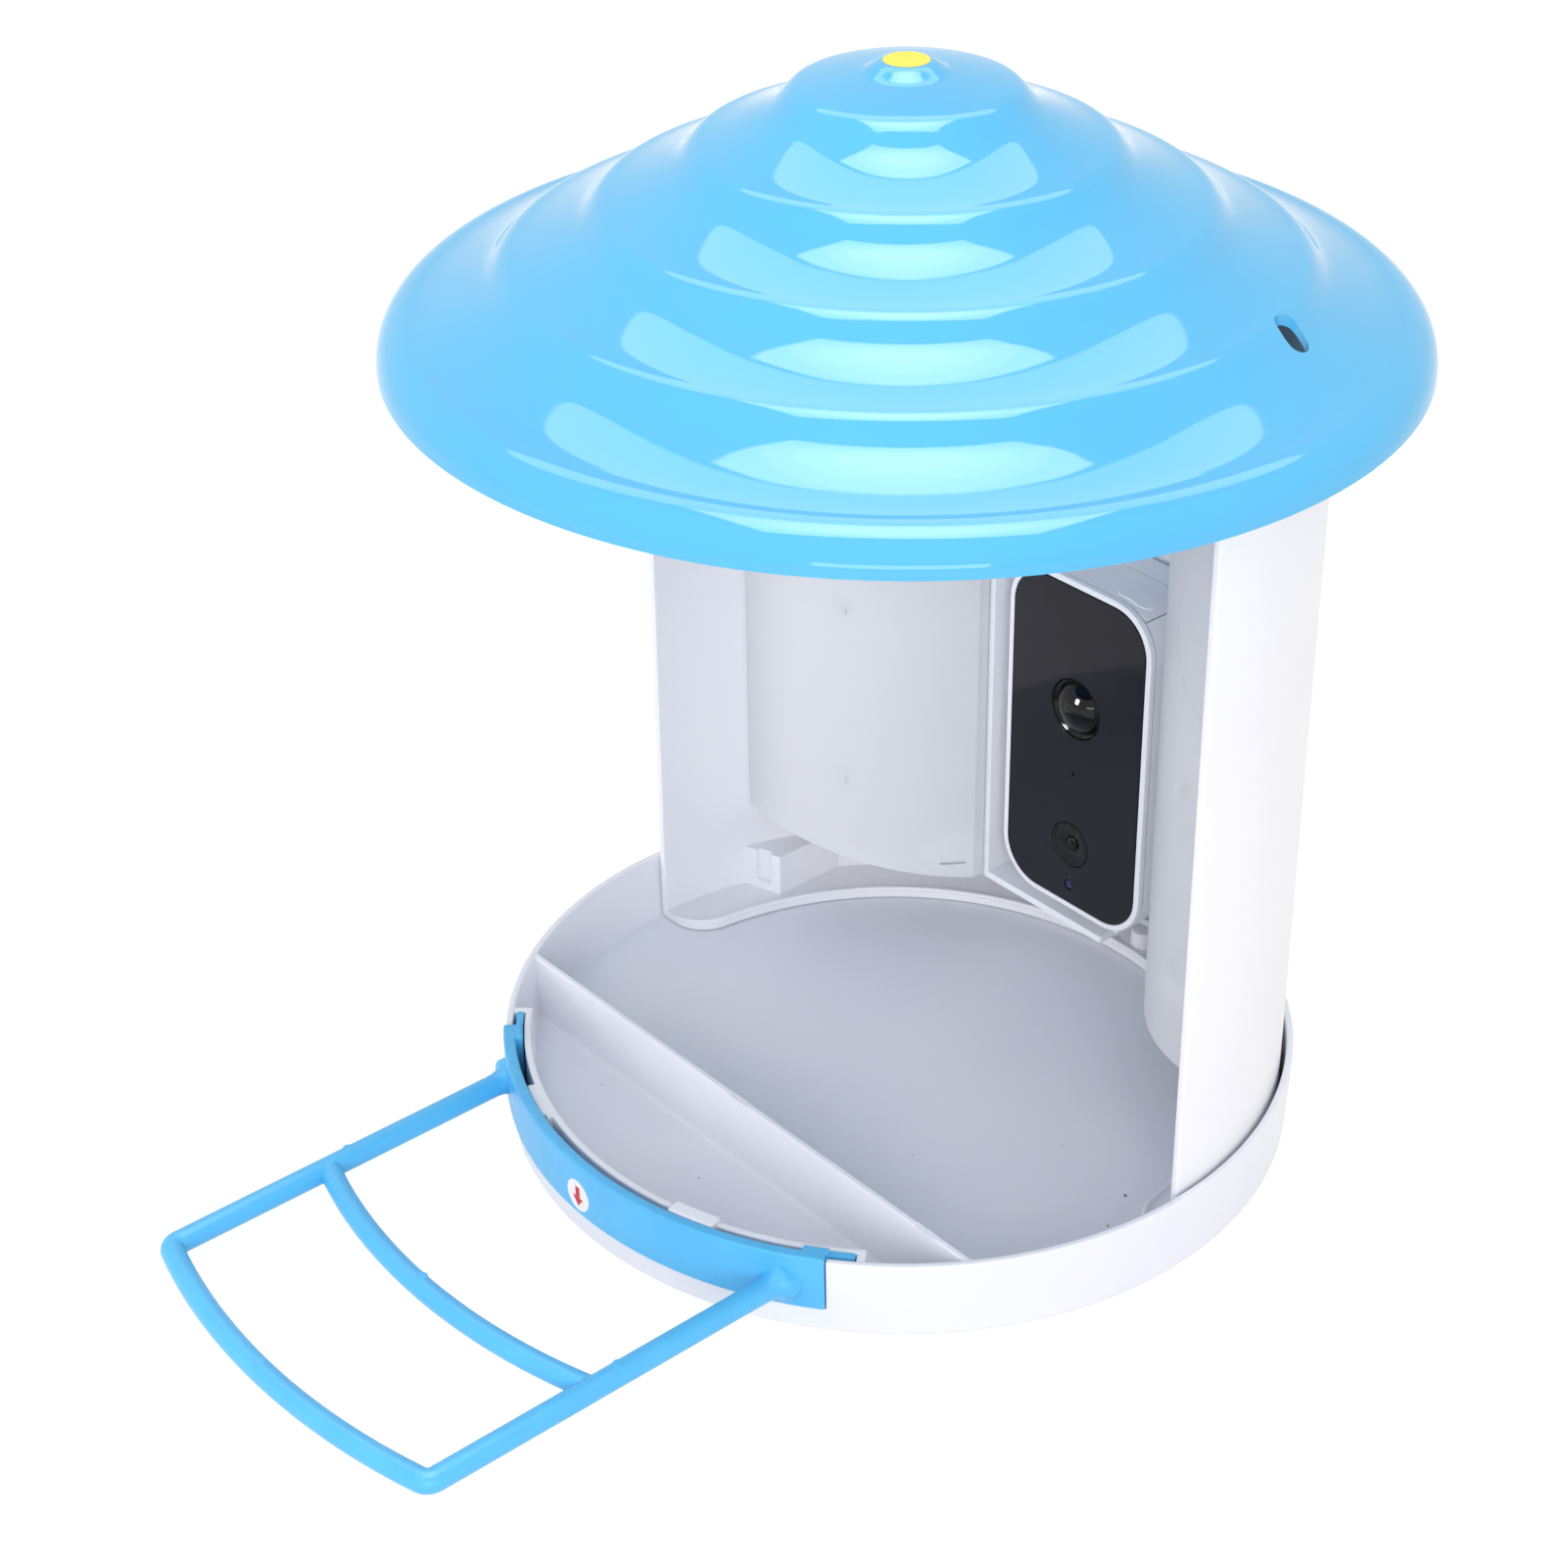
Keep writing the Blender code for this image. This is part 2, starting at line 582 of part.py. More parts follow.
def make_tray():
    foot_radius = TRAY_RADIUS - TRAY_TAPER
    floor_edge = foot_radius - RIM_WALL
    profile = [(0, FLOOR), (floor_edge - FLOOR_FILLET, FLOOR), (floor_edge, FLOOR + FLOOR_FILLET)]
    profile += [(RIM_INNER_RADIUS, RIM_HEIGHT), (TRAY_RADIUS, RIM_HEIGHT), (foot_radius, 0), (0, 0)]
    tray = turned_piece("tray", profile, TRAY_FLATS, WHITE)

    far_side = -PARTITION_DISTANCE - PARTITION_WALL / 2
    near_side = -PARTITION_DISTANCE + PARTITION_WALL / 2
    near_reach = half_chord(RIM_MIDDLE_RADIUS, near_side)
    far_reach = half_chord(RIM_MIDDLE_RADIUS, far_side)
    band = [(-far_reach, far_side), (far_reach, far_side), (near_reach, near_side), (-near_reach, near_side)]
    partition = flat_piece("partition", [band], FLOOR / 2, RIM_HEIGHT - GAP)

    cut_angle = PLATE_HALF_ANGLE + GAP / TRAY_RADIUS
    rim_gap = front_sector(SLOT_WALL_RADIUS, TRAY_RADIUS + OVERRUN, -cut_angle, cut_angle, TRAY_FLATS // 3)
    rim_cutter = flat_piece("rim_cutter", [rim_gap], SLOT_FLOOR_HEIGHT, RIM_HEIGHT + OVERRUN)

    rib_first = TONGUE_END_ANGLE + GAP / TRAY_RADIUS
    rib_last = rib_first + SLOT_RIB / TRAY_RADIUS
    slot_inner = SLOT_WALL_RADIUS - SLOT_WALL
    wall_band = front_sector(slot_inner, SLOT_WALL_RADIUS, -rib_last, rib_last, TRAY_FLATS // 3)
    slot_wall = flat_piece("slot_wall", [wall_band], FLOOR / 2, RIM_HEIGHT - GAP)
    ribs = []
    for side in (-1, 1):
        first, last = sorted((side * rib_first, side * rib_last))
        outline = front_sector(slot_inner + SLOT_WALL / 2, RIM_MIDDLE_RADIUS, first, last, 2)
        ribs.append(flat_piece("slot_rib", [outline], FLOOR / 2, RIM_HEIGHT - GAP))

    guides = []
    half_guide = GUIDE_LENGTH / 2 / TRAY_RADIUS
    for place in GUIDE_ANGLES:
        outline = front_sector(slot_inner + SLOT_WALL / 2, PLATE_INNER_RADIUS - GAP,
                               place - half_guide, place + half_guide, 3)
        guides.append(flat_piece("slot_guide", [outline], FLOOR / 2, RIM_HEIGHT - GAP))
    clip_inner = PLATE_INNER_RADIUS - GAP - CLIP_WIDTH
    clip_place = GUIDE_ANGLES[1]
    clip_outline = front_sector(clip_inner, PLATE_INNER_RADIUS - GAP,
                                clip_place - half_guide, clip_place + half_guide, 3)
    clip = flat_piece("slot_clip", [clip_outline], RIM_HEIGHT - CLIP_WIDTH / 2, RIM_HEIGHT + CLIP_RISE)

    cut(tray, rim_cutter)
    join(tray, partition, slot_wall, *ribs, *guides, clip)
    cut(tray, gather("floor_screw_holes", floor_screw_tools()))
    shade_round(tray)
    return tray


def floor_screw_places():
    """Where the three screws go up through the tray into the flange's post and blocks."""
    post_radius = WALL_INNER_RADIUS - POST_INSET
    places = [(post_radius * math.cos(POST_ANGLE), post_radius * math.sin(POST_ANGLE))]
    for side in (-1, 1):
        places.append((side * (block_inner_x() + BLOCK_WIDTH / 2), BLOCK_FRONT_Y + BLOCK_WIDTH / 2))
    return places


def floor_screw_tools():
    """Countersinks and holes for the floor screws."""
    tools = []
    for across, along in floor_screw_places():
        tools.append(turned_piece("floor_screw_tool", [
            (0, FLOOR + OVERRUN), (SCREW_HOLE / 2, FLOOR + OVERRUN),
            (SCREW_HOLE / 2, FLOOR_SCREW_HEAD_HEIGHT + GAP), (SCREW_HEAD_HOLE / 2, GAP),
            (SCREW_HEAD_HOLE / 2, -OVERRUN), (0, -OVERRUN),
        ], SCREW_FLATS, location=(across, along, 0)))
    return tools


def make_tray_screws():
    """Countersunk screws, heads a little inside the tray's underside."""
    tip = FLOOR + GAP + FLOOR_SCREW_BITE
    profile = [(0, tip), (SCREW_SHANK / 2, tip), (SCREW_SHANK / 2, GAP + FLOOR_SCREW_HEAD_HEIGHT)]
    profile += [(SCREW_HEAD / 2, GAP), (0, GAP)]
    for number, (across, along) in enumerate(floor_screw_places(), 1):
        turned_piece(f"tray_screw_{number}", profile, SCREW_FLATS, STEEL, location=(across, along, 0))


# Perch: curved plate, tongues, rails and bowed bars, all one moulding

def bow_spread(bow):
    """The radius of a bar's bow between the rails, and half the angle that it spans."""
    half = RAIL_SPACING / 2
    radius = (half * half + bow * bow) / (2 * bow)
    return radius, math.asin(half / radius)


def bowed_line(distance, bow, flats=ARC_FLATS):
    """A bar's middle line between the two rails, bowed towards the front."""
    radius, spread = bow_spread(bow)
    points = []
    for step in range(flats + 1):
        angle = -spread + 2 * spread * step / flats
        forward = radius * (math.cos(angle) - math.cos(spread))
        points.append((radius * math.sin(angle), -distance - forward, RAIL_HEIGHT))
    return points


def frame_line():
    """The middle line of the outer frame: down the left rail, along the outer bar and up the right rail."""
    half = RAIL_SPACING / 2
    spread = bow_spread(OUTER_BOW)[1]
    corner = Vector((half, -RAIL_REACH, RAIL_HEIGHT))
    along_bar = corner + RAIL_CORNER * Vector((-math.cos(spread), -math.sin(spread), 0))
    along_rail = corner + RAIL_CORNER * Vector((0, 1, 0))
    turn = []
    for step in range(CORNER_FLATS + 1):
        share = step / CORNER_FLATS
        place = along_bar.lerp(corner, share).lerp(corner.lerp(along_rail, share), share)
        turn.append(tuple(place))
    right = turn + [(half, -rail_start(), RAIL_HEIGHT)]
    left = [(-across, along, height) for across, along, height in reversed(right)]
    middle = [point for point in bowed_line(RAIL_REACH, OUTER_BOW) if abs(point[0]) < half - 2 * RAIL_CORNER]
    return left + middle + right


def rail_start():
    """How far in front of the middle the rails begin, a little behind the plate."""
    return half_chord(PLATE_INNER_RADIUS, RAIL_SPACING / 2 + RAIL_DIAMETER / 2 + RAIL_FLARE) - OVERRUN


def plate_outline():
    """The curved plate seen from above, stepped in to a thin tongue at each end."""
    front = -math.pi / 2
    joggle = PLATE_HALF_ANGLE - TONGUE_OVERLAP / TRAY_RADIUS
    outline = arc(PLATE_RADIUS, front - PLATE_HALF_ANGLE, front + PLATE_HALF_ANGLE, TRAY_FLATS // 3)
    outline += arc(TONGUE_OUTER_RADIUS, front + PLATE_HALF_ANGLE, front + TONGUE_END_ANGLE, 2)
    outline += arc(TONGUE_INNER_RADIUS, front + TONGUE_END_ANGLE, front + joggle, 3)
    outline += arc(PLATE_INNER_RADIUS, front + joggle, front - joggle, TRAY_FLATS // 3)
    outline += arc(TONGUE_INNER_RADIUS, front - joggle, front - TONGUE_END_ANGLE, 3)
    return outline + arc(TONGUE_OUTER_RADIUS, front - TONGUE_END_ANGLE, front - PLATE_HALF_ANGLE, 2)


def make_perch():
    perch = flat_piece("perch", [plate_outline()], PERCH_BOTTOM, PERCH_TOP, BLUE)
    radius = RAIL_DIAMETER / 2
    bars = rod_piece("bars", frame_line(), radius)
    join(bars, rod_piece("middle_bar", bowed_line(MIDDLE_BAR_DISTANCE, MIDDLE_BOW), MIDDLE_BAR_DIAMETER / 2))
    start = rail_start() + GAP
    for side in (-1, 1):
        across = side * RAIL_SPACING / 2
        root = half_chord(PLATE_RADIUS, across)
        join(bars, round_piece("rail_flare", (across, -start, RAIL_HEIGHT),
                               (across, -root - RAIL_FLARE_LENGTH, RAIL_HEIGHT), radius + RAIL_FLARE,
                               flats=SMALL_FLATS, end_radius=radius + GAP))
    trim_radius = PLATE_INNER_RADIUS + PLATE_THICKNESS / 2
    cut(bars, round_piece("bar_trim", (0, 0, -RIM_HEIGHT), (0, 0, 2 * RIM_HEIGHT), trim_radius,
                          flats=TRAY_FLATS))
    join(perch, bars)
    for side in (-1, 1):
        near = side * (PLATE_HALF_ANGLE + GAP / TRAY_RADIUS)
        far = side * (TONGUE_END_ANGLE + SLOT_RIB)
        first, last = sorted((near, far))
        above = front_sector(TONGUE_INNER_RADIUS - OVERRUN, TONGUE_OUTER_RADIUS + OVERRUN, first, last, 3)
        cut(perch, flat_piece("tongue_trim", [above], PERCH_TOP - PLATE_RISE, PERCH_TOP + OVERRUN))
    shade_round(perch)
    return perch


# Half-round wall with its flange, blocks, post and stand-offs

def flange_corner(radius):
    """The right-hand rounded end of an edge of the flange, from its front face to its side."""
    corner = []
    for step in range(CORNER_FLATS):
        turn = math.pi / 2 * step / CORNER_FLATS
        reach = radius + FLANGE_END_ROUND * (1 - math.sin(turn))
        angle = FLANGE_END_ANGLE * (1 - math.cos(turn))
        corner.append((reach * math.cos(angle), reach * math.sin(angle)))
    return corner


def bead_edge(radius):
    """A line along the flange's inner edge and round its two ends."""
    right = flange_corner(radius)[1:]
    left = [(-across, along) for across, along in reversed(right)]
    return right + arc(radius, FLANGE_END_ANGLE, math.pi - FLANGE_END_ANGLE, HALF_WALL_FLATS) + left


def block_inner_x():
    """The X of a block's inner side: the block reaches from there to the wall."""
    return half_chord(WALL_INNER_RADIUS, BLOCK_FRONT_Y) - BLOCK_WIDTH + WALL_THICKNESS / 2


def block_outline(side):
    """A block seen from above: a slanted front, a straight inner side and a back inside the wall."""
    inner = block_inner_x()
    in_wall = WALL_INNER_RADIUS + WALL_THICKNESS / 2
    front_drop = BLOCK_WIDTH * math.tan(BLOCK_SLANT)
    front_y = BLOCK_FRONT_Y - front_drop
    first = math.asin(front_y / in_wall)
    last = math.acos(inner / in_wall)
    outline = [(inner, BLOCK_FRONT_Y)] + arc(in_wall, first, last, 6)
    return [(side * across, along) for across, along in outline]


def make_body_wall():
    flange_top = FLANGE_TOP - WALL_TOP
    bottom = WALL_BOTTOM - WALL_TOP
    profile = [(WALL_INNER_RADIUS, 0), (WALL_RADIUS, 0), (WALL_RADIUS, bottom + FLOOR_FILLET)]
    profile += [(WALL_RADIUS - FLOOR_FILLET, bottom), (FLANGE_INNER_RADIUS, bottom)]
    profile += [(FLANGE_INNER_RADIUS, flange_top), (WALL_INNER_RADIUS, flange_top), (WALL_INNER_RADIUS, 0)]
    wall = turned_piece("body_wall", profile, 2 * HALF_WALL_FLATS, WHITE, location=(0, 0, WALL_TOP))
    reach = WALL_RADIUS + OVERRUN
    cut(wall, box_piece("front_half", (-reach, -reach, WALL_BOTTOM - OVERRUN),
                        (reach, 0, WALL_TOP + OVERRUN)))
    for side in (-1, 1):
        corner = flange_corner(FLANGE_INNER_RADIUS)
        inside = FLANGE_INNER_RADIUS - OVERRUN
        last = (inside * math.cos(FLANGE_END_ANGLE), inside * math.sin(FLANGE_END_ANGLE))
        outline = [(corner[0][0], -OVERRUN)] + corner + [last, (inside, -OVERRUN)]
        outline = [(side * across, along) for across, along in outline]
        cut(wall, flat_piece("flange_corner", [outline], WALL_BOTTOM - OVERRUN, FLANGE_TOP + OVERRUN))
    bead_inside = bead_edge(FLANGE_INNER_RADIUS + BEAD_INSET)
    bead_outside = bead_edge(FLANGE_INNER_RADIUS + BEAD_INSET + BEAD_WIDTH)
    join(wall, flat_piece("bead", [bead_inside + bead_outside[::-1]], FLANGE_TOP - BEAD_HEIGHT,
                          FLANGE_TOP + BEAD_HEIGHT))

    for side in (-1, 1):
        join(wall, flat_piece("block", [block_outline(side)], FLANGE_TOP - BEAD_HEIGHT,
                              FLANGE_TOP + BLOCK_HEIGHT))
    post_x, post_y = floor_screw_places()[0]
    post = round_piece("post", (post_x, post_y, FLANGE_TOP - BEAD_HEIGHT),
                       (post_x, post_y, FLANGE_TOP + POST_HEIGHT), POST_DIAMETER / 2, flats=SMALL_FLATS)
    stand_offs = []
    start_y = tube_end_y() + GAP
    wall_y = half_chord(WALL_INNER_RADIUS + WALL_THICKNESS / 2, TUBE_X + STAND_OFF_DIAMETER / 2)
    for across in (-TUBE_X, TUBE_X):
        for height in TUBE_HEIGHTS:
            stand_offs.append(round_piece("stand_off", (across, start_y, height), (across, wall_y, height),
                                          STAND_OFF_DIAMETER / 2, flats=SMALL_FLATS))
    join(wall, post, gather("stand_offs", stand_offs))

    for side in (-1, 1):
        groove_x = side * (block_inner_x() + BLOCK_WIDTH * BLOCK_GROOVE_SHARE)
        groove = box_piece("block_groove", (-BLOCK_GROOVE_WIDTH / 2, -OVERRUN, -BLOCK_GROOVE_HEIGHT),
                           (BLOCK_GROOVE_WIDTH / 2, BLOCK_GROOVE_DEPTH, OVERRUN))
        middle_y = BLOCK_FRONT_Y - BLOCK_WIDTH * BLOCK_GROOVE_SHARE * math.tan(BLOCK_SLANT)
        turn = Matrix.Rotation(-side * BLOCK_SLANT, 4, "Z")
        offset = turn @ Vector(groove.location)
        groove.location = offset + Vector((groove_x, middle_y, FLANGE_TOP + BLOCK_HEIGHT))
        groove.rotation_euler = (0, 0, -side * BLOCK_SLANT)
        cut(wall, groove)
    cut(wall, gather("wall_screw_holes", wall_screw_tools()),
        gather("flange_screw_holes", flange_screw_tools()))
    shade_round(wall)
    return wall


def flange_screw_tools():
    """Holes up into the post and the blocks."""
    tools = []
    top = WALL_BOTTOM + FLOOR_SCREW_BITE + GAP
    for across, along in floor_screw_places():
        tools.append(round_piece("flange_hole", (across, along, WALL_BOTTOM - OVERRUN), (across, along, top),
                                 SCREW_HOLE / 2, flats=SCREW_FLATS))
    return tools


def wall_screw_tools():
    """Holes in from the back: deep wells in the stand-offs, plain holes behind the pocket."""
    tools = []
    outside = WALL_RADIUS + OVERRUN
    start = tube_end_y() + GAP
    web_y = start + STAND_OFF_WEB
    for side in (-1, 1):
        for height in TUBE_HEIGHTS:
            profile = [(0, outside), (SCREW_HEAD_HOLE / 2, outside), (SCREW_HEAD_HOLE / 2, web_y)]
            profile += [(SCREW_HOLE / 2, web_y), (SCREW_HOLE / 2, start - OVERRUN), (0, start - OVERRUN)]
            tool = turned_piece("stand_off_well", profile, SCREW_FLATS, location=(side * TUBE_X, 0, height))
            tool.rotation_euler = (math.radians(-90), 0, 0)
            tools.append(tool)
    for height in POCKET_SCREW_HEIGHTS:
        tools.append(round_piece("pocket_hole", (0, WALL_INNER_RADIUS - OVERRUN, height),
                                 (0, outside, height), SCREW_HOLE / 2, flats=SCREW_FLATS))
    return tools


def back_screw(name, place, head, head_height, shank, bite, parent=None):
    """A pan-head screw driven in from the back: place is the middle of the face that its head rests on."""
    profile = [(0, GAP + head_height), (head / 2, GAP + head_height), (head / 2, GAP), (shank / 2, GAP)]
    profile += [(shank / 2, -bite), (0, -bite)]
    screw = turned_piece(name, profile, SCREW_FLATS, STEEL, parent, place)
    screw.rotation_euler = (math.radians(-90), 0, 0)
    return screw


def make_wall_screws():
    """Four screws that hold the bins, deep in their stand-offs, and two behind the camera pocket."""
    web_y = tube_end_y() + GAP + STAND_OFF_WEB
    for side, hand in ((-1, "left"), (1, "right")):
        for height, level in zip(TUBE_HEIGHTS, ("lower", "upper")):
            back_screw(f"hopper_screw_{hand}_{level}", (side * TUBE_X, web_y, height), SCREW_HEAD,
                       SCREW_HEAD_HEIGHT, SCREW_SHANK, SCREW_BITE)
    for height, level in zip(POCKET_SCREW_HEIGHTS, ("lower", "upper")):
        back_screw(f"pocket_screw_{level}", (0, WALL_RADIUS, height), SCREW_HEAD, SCREW_HEAD_HEIGHT,
                   SCREW_SHANK, SCREW_BITE)


# Hopper bins: bulging milky window with a sloping floor and two screw tubes

def bin_floor_height(across):
    """The height of the bin floor's top, which falls towards the camera pocket."""
    return SHELF_TOP + BIN_FLOOR_SLOPE * (abs(across) - POCKET_HALF_WIDTH)


def bulge_y(across, radius):
    """Where the bulging window lies at a distance across."""
    return BIN_CENTRE_Y - half_chord(radius, BIN_CENTRE_X - across)


def meet_wall(radius, wall_radius):
    """The angle on the window's own circle at which it meets the wall's circle."""
    away = math.hypot(BIN_CENTRE_X, BIN_CENTRE_Y)
    towards = math.atan2(-BIN_CENTRE_Y, -BIN_CENTRE_X)
    corner = math.acos((away * away + radius * radius - wall_radius * wall_radius) / (2 * away * radius))
    return towards + corner


def bin_outline(radius, wall_radius, pocket_x):
    """The bin seen from above on the right side: window arc, back along the wall, in beside the pocket."""
    last = meet_wall(radius, wall_radius)
    first = -math.pi + math.asin((BIN_CENTRE_Y - bulge_y(pocket_x, radius)) / radius)
    window = arc(radius, first, last, ARC_FLATS, (BIN_CENTRE_X, BIN_CENTRE_Y))
    start = math.atan2(window[-1][1], window[-1][0])
    end = math.acos(pocket_x / wall_radius)
    return window + arc(wall_radius, start, end, ARC_FLATS)[1:]


def sloped_prism(name, outline, side, drop, top, material=None):
    """An upright solid whose bottom follows the bin floor's slope, at a drop under its top face."""
    mirrored = [(side * across, along) for across, along in outline]
    made = flat_piece(name, [mirrored], 0, top, material)
    for vertex in made.data.vertices:
        if vertex.co.z < 0:
            vertex.co.z = bin_floor_height(vertex.co.x) - drop - top / 2
    return made


def tube_end_y():
    """Where a bin's screw tubes end, at the wall's stand-offs."""
    return bulge_y(TUBE_X, BIN_BULGE_RADIUS) + TUBE_LENGTH


def make_hopper(name, side):
    outline = bin_outline(BIN_BULGE_RADIUS, BIN_WALL_RADIUS, BIN_POCKET_X)
    hopper = sloped_prism(name, outline, side, BIN_FLOOR, BIN_TOP, MILKY)
    inner_radius = BIN_BULGE_RADIUS - BIN_SKIN
    hollow_outline = bin_outline(inner_radius, WALL_RADIUS + OVERRUN, POCKET_HALF_WIDTH - OVERRUN)
    hollow = sloped_prism(name + "_hollow", hollow_outline, side, 0, BIN_TOP + OVERRUN)
    cut(hopper, hollow)

    tubes = []
    bores = []
    skin_y = bulge_y(TUBE_X, inner_radius + BIN_SKIN / 2)
    tube_end = tube_end_y()
    bore_y = max(skin_y + BIN_SKIN, tube_end - SCREW_BITE)
    across = side * TUBE_X
    for height in TUBE_HEIGHTS:
        tubes.append(round_piece("tube", (across, skin_y, height), (across, tube_end, height),
                                 TUBE_DIAMETER / 2, flats=SMALL_FLATS))
        bores.append(round_piece("tube_bore", (across, bore_y, height), (across, tube_end + OVERRUN, height),
                                 SCREW_HOLE / 2, flats=SMALL_FLATS))
    join(hopper, gather(name + "_tubes", tubes))
    cut(hopper, gather(name + "_bores", bores))

    left = BIN_POCKET_X + PORT_INSET
    front = bulge_y(left + PORT_WIDTH / 2, inner_radius) + PORT_INSET
    low, high = sorted((side * left, side * (left + PORT_WIDTH)))
    port = box_piece(name + "_port", (low, front, 0), (high, front + PORT_LENGTH, 2 * SHELF_TOP))
    slot_x = BIN_POCKET_X + FOOT_SLOT_INSET
    slot_z = bin_floor_height(slot_x) + FOOT_SLOT_RISE
    slot_tangent = math.atan2(BIN_CENTRE_X - slot_x, BIN_CENTRE_Y - bulge_y(slot_x, BIN_BULGE_RADIUS))
    slot = box_piece(name + "_foot_slot", (-FOOT_SLOT_WIDTH / 2, -BIN_SKIN - OVERRUN, 0),
                     (FOOT_SLOT_WIDTH / 2, BIN_SKIN + OVERRUN, FOOT_SLOT_HEIGHT))
    slot.location = (side * slot_x, bulge_y(slot_x, BIN_BULGE_RADIUS), slot_z + FOOT_SLOT_HEIGHT / 2)
    slot.rotation_euler = (0, 0, -side * slot_tangent)
    cut(hopper, port, slot)
    shade_round(hopper)
    return hopper


# Camera pocket: two side walls, a back, a shelf, guide ribs and bearers

def make_camera_pocket():
    inner = POCKET_HALF_WIDTH
    outer = POCKET_OUTER_X
    front = POCKET_FRONT_Y
    shelf_bottom = SHELF_TOP - SHELF_THICKNESS
    channel = [(-outer, front), (-inner, front), (-inner, POCKET_BACK_Y), (inner, POCKET_BACK_Y)]
    channel += [(inner, front), (outer, front), (outer, POCKET_CORNER_Y), (-outer, POCKET_CORNER_Y)]
    pocket = flat_piece("camera_pocket", [channel], shelf_bottom, BIN_TOP, WHITE)
    middle = POCKET_HALF_WIDTH + POCKET_WALL / 2
    in_back = POCKET_BACK_Y + POCKET_WALL / 2
    shelf_outline = [(-middle, front), (NOTCH_LEFT, front), (NOTCH_LEFT, front + NOTCH_DEPTH),
                     (middle, front + NOTCH_DEPTH), (middle, in_back), (-middle, in_back)]
    join(pocket, flat_piece("shelf", [shelf_outline], shelf_bottom, SHELF_TOP))

    rib_reach = CASE_WIDTH / 2 + GAP
    rib_foot = SHELF_TOP - SHELF_THICKNESS / 2
    for side in (-1, 1):
        for setback in GUIDE_RIB_SETBACKS:
            low_x, high_x = sorted((side * rib_reach, side * middle))
            join(pocket, box_piece("guide_rib", (low_x, front + setback, rib_foot),
                                   (high_x, front + setback + GUIDE_RIB, GUIDE_RIB_TOP)))
        bearer_x = side * BEARER_SPACING / 2
        start = front + BEARER_SETBACK
        join(pocket, box_piece("bearer", (bearer_x - GUIDE_RIB / 2, start, rib_foot),
                               (bearer_x + GUIDE_RIB / 2, start + BEARER_LENGTH, SHELF_TOP + BEARER_RISE)))
    wall_y = half_chord(WALL_INNER_RADIUS, POCKET_BOSS_DIAMETER / 2) - GAP
    bosses = []
    bores = []
    for height in POCKET_SCREW_HEIGHTS:
        bosses.append(round_piece("pocket_boss", (0, in_back, height), (0, wall_y, height),
                                  POCKET_BOSS_DIAMETER / 2, flats=SMALL_FLATS))
        bore_start = WALL_RADIUS - SCREW_BITE - GAP
        bores.append(round_piece("pocket_bore", (0, bore_start, height), (0, wall_y + OVERRUN, height),
                                 SCREW_HOLE / 2, flats=SMALL_FLATS))
    join(pocket, gather("pocket_bosses", bosses))
    cut(pocket, gather("pocket_bores", bores))
    return pocket


# Roof: one turned shell with rounded steps, a seat ring and a skirt inside

def ease(share):
    """A smooth rise from 0 to 1 as share goes from 0 to 1."""
    share = min(max(share, 0), 1)
    return share * share * (3 - 2 * share)


def step_fall(share):
    """How far a step has fallen at a share of its width, from 0 at its crest to 1 at the next."""
    for (start, high), (end, low) in zip(STEP_SHARES, STEP_SHARES[1:]):
        if share <= end:
            break
    return high + (low - high) * (share - start) / (end - start)


def roof_height(radius):
    """The height of the roof's outer face above its rim."""
    height = ROOF_RISE - KNOB_DROP * ease((radius - KNOB_RADIUS) / KNOB_EDGE)
    if radius <= CAP_RADIUS:
        return height - (CAP_DROP - KNOB_DROP) * (radius / CAP_RADIUS) ** 2
    steps = (radius - CAP_RADIUS) / STEP_PITCH
    whole = min(int(steps), STEP_COUNT - 1)
    return ROOF_RISE - CAP_DROP - STEP_FALL * (whole + step_fall(steps - whole))


def roof_radii(shares):
    """Radii from the middle out to the brim, with the same few points in each step."""
    radii = [0, KNOB_RADIUS, KNOB_RADIUS + KNOB_EDGE, (CAP_RADIUS + KNOB_RADIUS + KNOB_EDGE) / 2]
    for step in range(STEP_COUNT):
        start = CAP_RADIUS + step * STEP_PITCH
        radii += [start + share * STEP_PITCH for share in shares]
    radii.append(CAP_RADIUS + STEP_COUNT * STEP_PITCH)
    return radii


